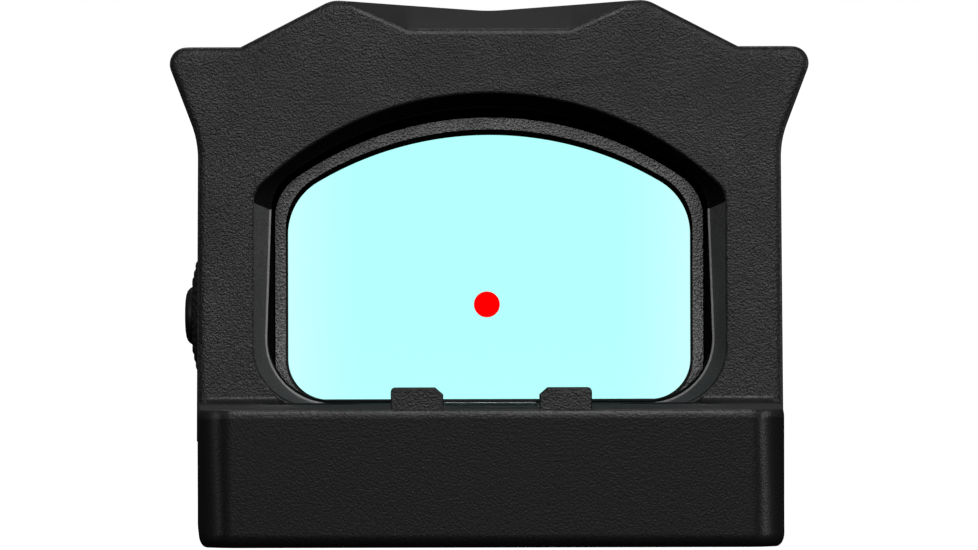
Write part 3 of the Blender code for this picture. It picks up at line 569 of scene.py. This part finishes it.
# Machined metals: dark tone, light tone, roughness and the axis that the marks run along
BRUSHED = {
    "black_steel": ((0.035, 0.035, 0.037), (0.075, 0.075, 0.08), 0.38, "x"),
    "steel": ((0.42, 0.42, 0.44), (0.60, 0.60, 0.61), 0.32, "y"),
    "brass": ((0.60, 0.40, 0.15), (0.78, 0.56, 0.25), 0.32, "x"),
}
MATERIALS = {
    **{name: grained(name, *values) for name, values in GRAINED.items()},
    **{name: brushed(name, *values) for name, values in BRUSHED.items()},
    "coated_glass": lens_glass("coated_glass", (0.459, 1.0, 0.968), (0.575, 1.0, 0.985)),
    "clear_glass": lens_glass("clear_glass", (0.96, 0.98, 0.98), (0.98, 1.0, 1.0)),
    "lit_dot": lit_dot("lit_dot"),
}


def paint(name, *shapes):
    for shape in shapes:
        shape.data.materials.clear()
        shape.data.materials.append(MATERIALS[name])
    return shapes[0]


def show(shape, body, slot, *nodes):
    """Finishes a new piece: it rides on a body and stands for the CAD nodes given."""
    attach(shape, body)
    if nodes:
        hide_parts(*nodes)
    return shape


# Housing


def finish(shape, names, chosen):
    """Gives each face the finish whose place in the names is chosen for it."""
    shape.data.materials.clear()
    for name in names:
        shape.data.materials.append(MATERIALS[name])
    for face in shape.data.polygons:
        face.material_index = chosen(face)
    return shape


def base_block():
    right = [
        (REAR_FACE_HALF, REAR, 0),
        (FACET_HALF, REAR + FACET_DEPTH, 0),
        (REAR_HALF, REAR + SIDE_DEPTH, 0),
        (BASE_HALF, HOOD_REAR, 0),
        (BASE_HALF, FRONT - FRONT_CORNER, FRONT_ROUND),
        (BASE_HALF - FRONT_CORNER, FRONT, FRONT_ROUND),
    ]
    block = rounded_slab("housing_body", mirrored(right), "xy", 0, DECK, UNDER_EDGE, BASE_EDGE, steps=4)
    edge_foot = (DECK - BASE_EDGE[1]) * MM
    # faces above the rounded top edge's foot get the painted highlight tone, and the up-facing deck
    # faces get a painted sheen
    finish(
        block,
        ("anodised_fine", "painted_edge_highlight", "deck"),
        lambda face: int(face.center.z > edge_foot) + int(face.normal.z > 0.9),
    )
    slope = math.atan2(NOSE_DROP, NOSE_LENGTH)
    nose = box("nose_cut", (-20, 0, 0), (20, 12, 6))
    turn = Matrix.Translation(Vector((0, FRONT - NOSE_LENGTH, DECK)) * MM)
    nose.data.transform(turn @ Matrix.Rotation(-slope, 4, "X"))
    return cut(block, nose)


def notch_cut():
    """The ramp sunk into the hood's top between the peaks, deepest at the rear."""
    right = [
        (NOTCH_FLOOR_HALF, NOTCH_FLOOR_Z, 1.2),
        (NOTCH_HALF, NOTCH_TOP_Z, 0),
        (NOTCH_HALF + 1.6, NOTCH_TOP_Z + 4, 0),
    ]
    steps = [(-1.0, 3 * NOTCH_EDGE[0]), *quarter_turn(*NOTCH_EDGE), (FRONT, 0)]
    loops = []
    for depth, spread in steps:
        outline = rounded_outline(inset(mirrored(right), -spread))
        loops.append([Vector((x, HOOD_REAR + REAR_LEAN * (z - DECK) + depth, z)) for x, z in outline])
    notch = loft("notch_cut", loops)
    # painted highlight: the notch's rounded rim gets the lighter edge tone
    finish(notch, ("anodised", "painted_edge_highlight"), lambda face: int(abs(face.normal.y) > 0.5))
    for vertex in notch.data.vertices:
        vertex.co.z += math.tan(NOTCH_RISE) * (vertex.co.y - NOTCH_REAR * MM)
    return notch


def lean_faces(shape, middle, rear, front=0.0):
    """Leans the faces behind and ahead of a depth, by mm for each mm above the deck."""
    for vertex in shape.data.vertices:
        lean = rear if vertex.co.y < middle * MM else front
        vertex.co.y += lean * (vertex.co.z - DECK * MM)
    return shape


def hood_block():
    right = [
        (HOOD_HALF, DECK - 2.0, 0),
        (FLANK_HALF, FLANK_Z, 5.0),
        (EAR_HALF, EAR_Z, 0.88),
        (EAR_INNER, EAR_Z, 0.3),
        (PEAK_X, PEAK_Z, 1.6),
        (0, DIP_Z, 10.0),
    ]
    depths = (HOOD_REAR, HOOD_FRONT)
    hood = rounded_slab("hood_block", mirrored(right), "xz", *depths, HOOD_EDGE, HOOD_EDGE, steps=12)
    paint("anodised", hood)
    lean_faces(hood, (HOOD_REAR + HOOD_FRONT) / 2, REAR_LEAN, FRONT_LEAN)
    return cut(hood, notch_cut())


def foot_fillet():
    centre = (HOOD_REAR - FOOT_FILLET, DECK + FOOT_FILLET)
    outline = arc(centre, FOOT_FILLET, -math.pi / 2, 0, 12)
    outline += [Vector((HOOD_REAR + 1.5, DECK + FOOT_FILLET)), Vector((HOOD_REAR + 1.5, DECK - 0.5))]
    outline.append(Vector((HOOD_REAR - FOOT_FILLET, DECK - 0.5)))
    half = HOOD_HALF - HOOD_EDGE[0] - 0.1
    # painted highlight: the concave foot fillet gets the lighter edge tone, standing in for the light
    # along the hood's foot
    return paint("painted_edge_highlight", prism("foot_fillet", [outline], "yz", -half, half))


def lug(side):
    inner, outer = side * LUG_INNER, side * (LUG_INNER + LUG_WIDTH)
    corners = [
        (outer, DECK - 1.0, 0),
        (outer, LUG_TOP, 0.22),
        (inner + side * 0.42, LUG_TOP, 0.1),
        (inner, LUG_TOP - 0.36, 0.1),
        (inner, DECK - 1.0, 0),
    ]
    shape = prism(f"lug_{side}", [rounded_outline(corners)], "xz", *LUG_Y)
    lean_faces(shape, sum(LUG_Y) / 2, REAR_LEAN)
    return paint("anodised", round_edges(shape, 0.08, 2))


def leaning(shape, depth):
    """A loop of the mouth at a depth below the hood's leaning rear face."""
    start = HOOD_REAR + depth
    return [Vector((x, start + REAR_LEAN * (z - DECK), z)) for x, z in arch(*shape)]


def tunnel_cut():
    """The tunnel with a rounded mouth, a flared band and a thin lip at its inner edge. The band is
    painted lighter and the lip brighter, standing in for the light they catch; the walls, and the band
    and lip above the shoulders, get a dull black that is painted shade.
    """
    inner = grown(TUNNEL, -LIP)
    loops = [leaning(grown(MOUTH, 0.9), -0.9)]
    loops += [leaning(grown(MOUTH, spread), depth) for depth, spread in quarter_turn(*MOUTH_EDGE)]
    loops.append(leaning(TUNNEL, CHAMFER_DEPTH))
    loops.append(leaning(inner, CHAMFER_DEPTH + LIP / 2))
    loops.append([Vector((x, BEZEL_Y - 0.6, z)) for x, z in arch(*inner)])
    for loop in loops[-3:]:
        for point in loop:
            point.x *= 1 + TUNNEL_SPREAD * max(0.0, SHOULDER - point.z)
    tunnel = loft("tunnel_cut", loops)
    bands = (MOUTH_EDGE[1], CHAMFER_DEPTH, CHAMFER_DEPTH + LIP / 2)

    def band_of(face):
        depth = face.center.y / MM - HOOD_REAR - REAR_LEAN * (face.center.z / MM - DECK)
        # painted shadow: above the shoulders the band and lip get the tunnel's dull black, where the
        # hood's top shades them
        overhead = face.center.z > SHOULDER * MM
        return len(bands) if overhead and depth > bands[0] else sum(depth > band for band in bands)

    return finish(tunnel, ("anodised", "painted_lit_flare", "lip", "tunnel_shade_black"), band_of)


def trough_cut():
    lean = math.tan(BEAM_TILT)
    rise = 3.0
    outline = [
        (TROUGH_REAR - lean * rise, TROUGH_FLOOR + rise),
        (TROUGH_REAR, TROUGH_FLOOR),
        TROUGH_KNEE,
        (TROUGH_END, TUNNEL[1] + 0.07),
        (TROUGH_END, TROUGH_FLOOR + rise),
    ]
    points = [Vector(point) for point in reversed(outline)]
    return prism("trough_cut", [points], "yz", -TROUGH_HALF, TROUGH_HALF)


def front_cut():
    """The front window, with a bevel round it that opens forwards."""
    inner, outer = grown(GLASS_SEEN, 0.12), grown(GLASS_SEEN, 1.3)
    loops = []
    for shape, depth in ((inner, -2.4), (inner, -0.45), (outer, 0.75)):
        loop = []
        for x, z in arch(*shape):
            loop.append(Vector((x, HOOD_FRONT + FRONT_LEAN * (z - DECK) + depth, z)))
        loops.append(loop)
    return loft("front_cut", loops)


def optic_cuts():
    seat = prism("seat_cut", [arch(*grown(BEZEL_OUTER, SEAT_SIDE))], "xz", BEZEL_Y - 0.9, LIP_Y)
    through = prism("through_cut", [arch(*grown(GLASS_SEEN, 0.12))], "xz", LIP_Y - 1, HOOD_FRONT - 0.9)
    # the seat and the front window's bore get the dull black that is painted shade
    return [tunnel_cut(), paint("tunnel_shade_black", seat), paint("tunnel_shade_black", through), front_cut()]


def mechanism_cuts():
    return [
        box("emitter_cavity", (-2.6, -14.2, 4.0), (2.6, -10.1, 6.45)),
        box("beam_port", (-1.3, -10.6, 5.06), (1.3, -8.6, 6.45)),
        sunk_rim("elevation_head", HEAD_R + GAP, 0.12, (0, ELEVATION.y, DECK), "+z", DECK - ELEVATION.z),
        rod("elevation_bore", SHAFT_R + GAP, ELEVATION - Vector((0, 0, 2)), "+z", 4),
        rod("windage_head", HEAD_R + GAP, WINDAGE, "+x", 4),
        rod("windage_bore", SHAFT_R + GAP, WINDAGE - Vector((4, 0, 0)), "+x", 6),
    ]


def cover_screw_places():
    half, rear, front = POCKET
    return [(x, y) for y in (rear + 0.9, front - 0.9) for x in (-half + 0.9, half - 0.9)]


def screw_bosses():
    middle = (POCKET[1] + POCKET[2]) / 2
    made = []
    for x, y in cover_screw_places():
        out_x, out_y = math.copysign(1, x), math.copysign(1, y - middle)
        spans = sorted((x - out_x, x + 1.5 * out_x)), sorted((y - out_y, y + 1.5 * out_y))
        low = (spans[0][0], spans[1][0], COVER_RIM + GAP)
        made.append(box("boss", low, (spans[0][1], spans[1][1], POCKET_ROOF + 0.4)))
    return made


def underside_cuts():
    half, rear, front = POCKET
    cover = rectangle(-half - 1.2, half + 1.2, rear - 1.0, front + 0.9, 1.6)
    return [
        prism("pocket_cut", [rectangle(-half, half, rear, front, 1.0)], "xy", -1, POCKET_ROOF),
        prism("cover_cut", [cover], "xy", -1, COVER_RIM),
        box("flex_slot_low", (-13.2, -9.0, 2.4), (-11.0, -6.1, 5.1)),
        box("flex_slot_run", (-13.2, -8.0, 2.9), (-12.6, 9.2, 5.1)),
        box("flex_slot_rise", (-13.2, 6.8, 2.9), (-12.6, 9.2, 11.0)),
        box("contact_slot", (-5.6, front - 1, 4.52), (-3.4, BAY_Y - BAY_HALF + 1, 5.12)),
    ]


def battery_cuts():
    low, high = BAY_Y - BAY_HALF, BAY_Y + BAY_HALF
    seal = rectangle(low - 0.5, high + 0.5, BAY_Z[0] - 0.25, BAY_Z[1] + 0.3, 0.5)
    return [
        prism("bay_cut", [rectangle(low, high, *BAY_Z, 0.3)], "yz", BAY_END, 17),
        prism("seal_cut", [seal], "yz", CAP_X - 0.4, 17),
        prism("cap_cut", [rectangle(*CAP_Y, *CAP_Z, 1.0)], "yz", CAP_X, 17),
        rod("tray_thread", SHAFT_R + GAP, TRAY_SCREW - Vector((3.75, 0, 0)), "+x", 4),
    ]


def mounting_cuts():
    made = []
    rim = 0.15
    for x in (-MOUNT_X, MOUNT_X):
        foot, top = (x, MOUNT_Y, 0), (x, MOUNT_Y, DECK)
        made.append(sunk_rim("mount_foot", MOUNT_R, rim, foot, "-z", 6))
        made.append(sunk_rim("mount_head", MOUNT_HEAD_R, rim, top, "+z", DECK - MOUNT_HEAD_Z))
    return made


def housing():
    body = join(base_block(), hood_block(), foot_fillet(), lug(-1), lug(1))
    floor = BUTTON + Vector((BUTTON_BORE, 0, 0))
    button_bore = rod("button_bore", SURROUND_R + GAP, floor, "-x", BUTTON_BORE + 2)
    cut(body, *optic_cuts(), trough_cut(), *underside_cuts())
    join(body, *screw_bosses())
    threads = [rod("thread", 0.6, (x, y, 0), "+z", 3.6, 16) for x, y in cover_screw_places()]
    cut(body, *threads, *mechanism_cuts(), *battery_cuts(), button_bore, *mounting_cuts())
    smooth(body)
    return show(body, "housing", "anodised_housing", "housing")


# Optics


def optics():
    bezel = prism("bezel_ring", [arch(*BEZEL_OUTER), arch(*BEZEL_INNER)], "xz", BEZEL_Y, SEAL_Y - GAP)
    round_edges(bezel, 0.04, 3)
    glass = arch(*grown(GLASS_SEEN, LENS_LIP))
    seal = prism("seal_ring", [glass, arch(*GLASS_SEEN)], "xz", SEAL_Y, LENS_Y - GAP)
    split = (LENS_Y + LIP_Y) / 2
    rear = prism("rear_lens", [glass], "xz", LENS_Y, split - GAP / 2)
    front = prism("front_lens", [glass], "xz", split + GAP / 2, LIP_Y - GAP)
    show(smooth(paint("bezel", bezel)), "housing", "bezel_metal", "lens_bezel")
    show(smooth(paint("rubber", seal)), "housing", "rubber", "lens_seal")
    show(smooth(paint("coated_glass", rear)), "housing", "coated_glass", "lens_rear_element")
    show(smooth(paint("clear_glass", front)), "housing", "clear_glass", "lens_front_element")


def aiming_dot():
    """The reflected dot, a thin lit disc just behind the glass that moves with the emitter."""
    place = DOT_PLACE
    dot = prism("aiming_dot", [circle(place.x, place.z, DOT_RADIUS, 64)], "xz", place.y - 0.03, place.y)
    dot.visible_diffuse = dot.visible_glossy = False
    show(smooth(paint("lit_dot", dot)), "led_holder", "emitter_package")


# Button


def power_button():
    rim = BUTTON_PROUD
    dome = [(0, rim), (0.45, rim - 0.008), (0.8, rim - 0.03), (1.1, rim - 0.075), (1.3, rim - 0.15)]
    dome += [(1.43, rim - 0.26), (1.52, rim - 0.4), (1.57, rim - 0.55), (1.6, rim - 0.8)]
    dome += [(1.6, -1.1), (0, -1.1)]
    button = spun("button_cap", dome, BUTTON, "-x")
    show(smooth(paint("button_rubber", button), 50), "power_button", "button_rubber", "power_button")


def surround_height(radius, angle):
    """A cone that rises to the button, with rows of beads round it."""
    share = (BEADS_OUTER - radius) / (BEADS_OUTER - BEADS_INNER)
    rise = 0.03 + 0.24 * share
    height = rise
    for row, middle in enumerate(BEAD_ROWS):
        across = max(0.0, 1 - ((radius - middle) / 0.19) ** 2)
        beads = 0.5 + 0.5 * math.cos(angle * BEAD_COUNT + row * math.pi)
        height = max(height, rise - 0.02 + 0.11 * math.sqrt(across) * (0.45 + 0.55 * beads))
    return height


def button_surround():
    steps, rows = 240, 28
    outer, inner, foot = BEADS_OUTER, BUTTON_R, -1.5
    work = bmesh.new()
    rings = [[(inner, foot)] * steps]
    for k in range(rows + 1):
        radius = inner + (outer - inner) * k / rows
        rings.append([(radius, surround_height(radius, 2 * math.pi * j / steps)) for j in range(steps)])
    rings += [[(outer, 0.0)] * steps, [(SURROUND_R, -0.02)] * steps, [(SURROUND_R, foot)] * steps]
    made = []
    for ring in rings:
        row = []
        for j, (radius, height) in enumerate(ring):
            angle = 2 * math.pi * j / steps
            place = Vector((radius * math.cos(angle), radius * math.sin(angle), height))
            row.append(work.verts.new(place * MM))
        made.append(row)
    for upper, lower in zip(made, made[1:] + made[:1]):
        for j in range(steps):
            after = (j + 1) % steps
            work.faces.new((upper[j], lower[j], lower[after], upper[after]))
    bmesh.ops.recalc_face_normals(work, faces=work.faces)
    bmesh.ops.transform(work, matrix=placing(BUTTON, "-x"), verts=work.verts)
    ring = from_bmesh("knurled_surround", work)
    show(smooth(paint("black_plastic", ring), 60), "housing", "black_plastic", "button_surround")


# Screws


def adjuster(name, head, axis, shaft_length, slot_half):
    """A captive screw with a slotted head, which turns as the body of its own name."""
    profile = [(0, HEAD_TOP), (HEAD_R - 0.2, HEAD_TOP), (HEAD_R - 0.06, HEAD_TOP - 0.06)]
    profile += [(HEAD_R, HEAD_TOP - 0.2), (HEAD_R, HEAD_FOOT + 0.05), (HEAD_R - 0.05, HEAD_FOOT)]
    profile += [(SHAFT_R, HEAD_FOOT), (SHAFT_R, -shaft_length), (0, -shaft_length)]
    screw = spun(f"{name}_turned", profile, head, axis)
    outward = Vector((0, 0, 1)) if axis == "+z" else Vector((1, 0, 0))
    middle = head + outward * 1.0
    slot = box("slot", middle - slot_half, middle + slot_half + outward * 0.5)
    cut(screw, slot)
    show(smooth(paint("black_steel", screw)), name, "black_steel", name)


def small_screw(name, place, axis, head_radius, head_height, shaft_length, drive_depth, body):
    """A flat-headed machine screw with a hexagonal socket."""
    soft = min(0.08, head_height / 3)
    profile = [(0, head_height), (head_radius - soft, head_height), (head_radius, head_height - soft)]
    profile += [(head_radius, 0), (0.5, 0), (0.5, -shaft_length), (0, -shaft_length)]
    shape = spun(f"{name}_turned", profile, place, axis, BORE)
    outward = TO_AXIS[axis].to_3x3() @ Vector((0, 0, 1))
    start = Vector(place) + outward * (head_height - drive_depth)
    cut(shape, rod("drive", head_radius * 0.45, start, axis, 2, 6))
    show(smooth(paint("black_steel", shape)), body, "black_steel", name)


def screws():
    adjuster("elevation_screw", ELEVATION, "+z", 3.8, Vector((3, SLOT_HALF, SLOT_HALF)))
    adjuster("windage_screw", WINDAGE, "+x", 12.2, Vector((SLOT_HALF, 3, SLOT_HALF)))
    for number, (x, y) in enumerate(cover_screw_places(), 1):
        name = f"bottom_cover_screw_{number}"
        small_screw(name, (x, y, 0.48), "-z", 1.12, 0.4, 2.6, 0.25, "housing")
    place = TRAY_SCREW + Vector((0.03, 0, 0))
    small_screw("tray_screw", place, "+x", 1.2, 0.75, 3.4, 0.5, "tray_screw")


# Battery tray and underside


def battery_tray():
    low, high = BAY_Y - BAY_HALF + 0.15, BAY_Y + BAY_HALF - 0.15
    floor = BAY_Z[0] + 0.1
    tray = box("tray_body", (-8.4, low, floor), (CAP_X + 0.3, high, 4.6))
    plug = box("tray_plug", (CAP_X - 2.2, low, floor), (CAP_X + 0.3, high, 5.1))
    face = rectangle(CAP_Y[0] + 0.1, CAP_Y[1] - 0.1, CAP_Z[0] + 0.1, CAP_Z[1] - 0.1, 0.9)
    cap = round_edges(prism("tray_cap", [face], "yz", CAP_X + GAP, SIDE_X), 0.14, 3)
    join(tray, plug, cap)
    pocket = rod("cell_pocket", CELL_R + 0.12, (0, BAY_Y, 1.5), "+z", 6, 96)
    sink = rod("screw_sink", 1.3, TRAY_SCREW, "+x", 3)
    hole = rod("screw_hole", 0.6, TRAY_SCREW - Vector((2, 0, 0)), "+x", 4)
    cut(tray, pocket, sink, hole)
    show(smooth(paint("anodised", tray)), "battery_tray", "anodised_housing", "battery_tray")


def coin_cell():
    base = 1.53
    top = CELL_THICK
    profile = [(0, top), (6.6, top), (6.72, top - 0.12), (6.95, top - 0.12), (7.05, top - 0.04)]
    profile += [(7.7, top - 0.04), (7.9, top - 0.12), (CELL_R, top - 0.35), (CELL_R, 0.3)]
    profile += [(7.9, 0.1), (7.7, 0.0), (0, 0)]
    cell = spun("coin_cell_can", profile, (0, BAY_Y, base), "+z", 120)
    show(smooth(paint("steel", cell)), "battery_tray", "cell_can", "coin_cell")


def bottom_cover():
    half, rear, front = POCKET
    plate = rectangle(-half - 1.1, half + 1.1, rear - 0.9, front + 0.8, 1.5)
    holes = [circle(x, y, 0.7) for x, y in cover_screw_places()]
    cover = prism("cover_plate", [plate, *holes], "xy", 0.0, COVER_THICK)
    sinks = [rod("sink", 1.2, (x, y, 0.5), "-z", 1.0) for x, y in cover_screw_places()]
    cut(cover, *sinks)
    show(smooth(paint("anodised", cover)), "housing", "anodised_housing", "bottom_cover")


# Frame nodes that keep their shape

KEPT = {
    "rubber": [
        "elevation_screw_o_ring",
        "windage_screw_o_ring",
        "button_seal",
        "bottom_gasket",
        "tray_seal",
    ],
    "steel": [
        "elevation_clip",
        "windage_clip",
        "elevation_spring",
        "windage_spring",
        "ground_spring",
        "carriage_guide_pin_left",
        "carriage_guide_pin_right",
        "board_screw_left",
        "board_screw_right",
    ],
    "brass": ["led_holder", "elevation_carriage", "windage_nut", "battery_contact"],
    "black_plastic": ["tactile_switch", "microcontroller", "flex_connector"],
    "board": ["control_board"],
    "polyimide": ["led_flex", "switch_flex"],
    "package": ["led_emitter"],
    "clear_glass": ["emitter_window"],
}


def dress_kept_nodes():
    for name, nodes in KEPT.items():
        for node in nodes:
            paint(name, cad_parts[node])


# Stage


def seen_directly(nodes):
    """1 for what the camera sees, on its own or straight through glass, and 0 for light."""
    path = nodes.add("ShaderNodeLightPath").outputs
    share = nodes.maths("MAXIMUM", path["Is Camera Ray"], path["Is Transmission Ray"])
    for bounce in ("Diffuse Depth", "Glossy Depth"):
        first = nodes.maths("LESS_THAN", path[bounce], 0.5)
        share = nodes.maths("MULTIPLY", share, first)
    return share


def set_world():
    """White to the camera and through the glass, and a soft overhead gradient for the light."""
    nodes = Nodes(bpy.data.worlds.new("studio"))
    nodes.tree.nodes.clear()
    axes = nodes.add("ShaderNodeSeparateXYZ")
    soft = nodes.add("ShaderNodeBackground", Color=WHITE)
    white = nodes.add("ShaderNodeBackground", Color=WHITE, Strength=BACKDROP)
    output = nodes.add("ShaderNodeOutputWorld")
    nodes.link(nodes.add("ShaderNodeTexCoord").outputs["Generated"], axes.inputs["Vector"])
    nodes.link(nodes.ramp(axes.outputs["Z"], 0.1, 1.0, *SKY), soft.inputs["Strength"])
    sky = nodes.mixed(seen_directly(nodes), soft.outputs["Background"], white.outputs["Background"])
    nodes.link(sky, output.inputs["Surface"])
    bpy.context.scene.world = nodes.owner


def floor():
    """A wide pale floor that is white where nothing shades it, and lights nothing itself."""
    work = bmesh.new()
    bmesh.ops.create_grid(work, x_segments=1, y_segments=1, size=FLOOR_REACH)
    ground = from_bmesh("floor", work)
    ground.location.z = -0.02 * MM
    nodes = Nodes(bpy.data.materials.new("pale_floor"))
    nodes.tree.nodes.clear()
    shade = nodes.add("ShaderNodeBsdfDiffuse", Color=FLOOR_GREY)
    glow = nodes.add("ShaderNodeEmission", Strength=BACKDROP)
    both = nodes.add("ShaderNodeAddShader")
    dim = nodes.add("ShaderNodeBsdfDiffuse", Color=FLOOR_DIM)
    output = nodes.add("ShaderNodeOutputMaterial")
    nodes.link(shade.outputs["BSDF"], both.inputs[0])
    nodes.link(glow.outputs["Emission"], both.inputs[1])
    look = nodes.mixed(seen_directly(nodes), dim.outputs["BSDF"], both.outputs["Shader"])
    nodes.link(look, output.inputs["Surface"])
    ground.data.materials.append(nodes.owner)


def softbox(name, place, size, power, spread):
    """A square area light that points at the middle of the sight."""
    light = bpy.data.lights.new(name, "AREA")
    light.shape = "SQUARE"
    light.size = size * MM
    light.energy = power
    light.spread = spread
    lamp = bpy.data.objects.new(name, light)
    bpy.context.scene.collection.objects.link(lamp)
    lamp.location = Vector(place) * MM
    direction = MIDDLE - Vector(place)
    lamp.rotation_euler = direction.to_track_quat("-Z", "Y").to_euler()


def camera():
    level_back = Vector((-math.sin(YAW), -math.cos(YAW), 0)) * math.cos(TILT)
    back = level_back + Vector((0, 0, math.sin(TILT)))
    lens = bpy.data.cameras.new("camera")
    lens.sensor_width = SENSOR
    lens.lens = LENS_LENGTH
    lens.clip_start, lens.clip_end = NEAR, FAR
    seat = bpy.data.objects.new("camera", lens)
    bpy.context.scene.collection.objects.link(seat)
    seat.location = (AIM + back * CAMERA_DISTANCE) * MM
    level = (-back).to_track_quat("-Z", "Y")
    seat.rotation_euler = (level @ Quaternion((0, 0, 1), -ROLL)).to_euler()
    bpy.context.scene.camera = seat


def stage():
    scene = bpy.context.scene
    scene.view_settings.view_transform = "Standard"
    scene.view_settings.look = "None"
    set_world()
    floor()
    for name, values in LIGHTS.items():
        softbox(name, *values)


housing()
optics()
aiming_dot()
power_button()
button_surround()
screws()
battery_tray()
coin_cell()
bottom_cover()
dress_kept_nodes()
stage()
camera()
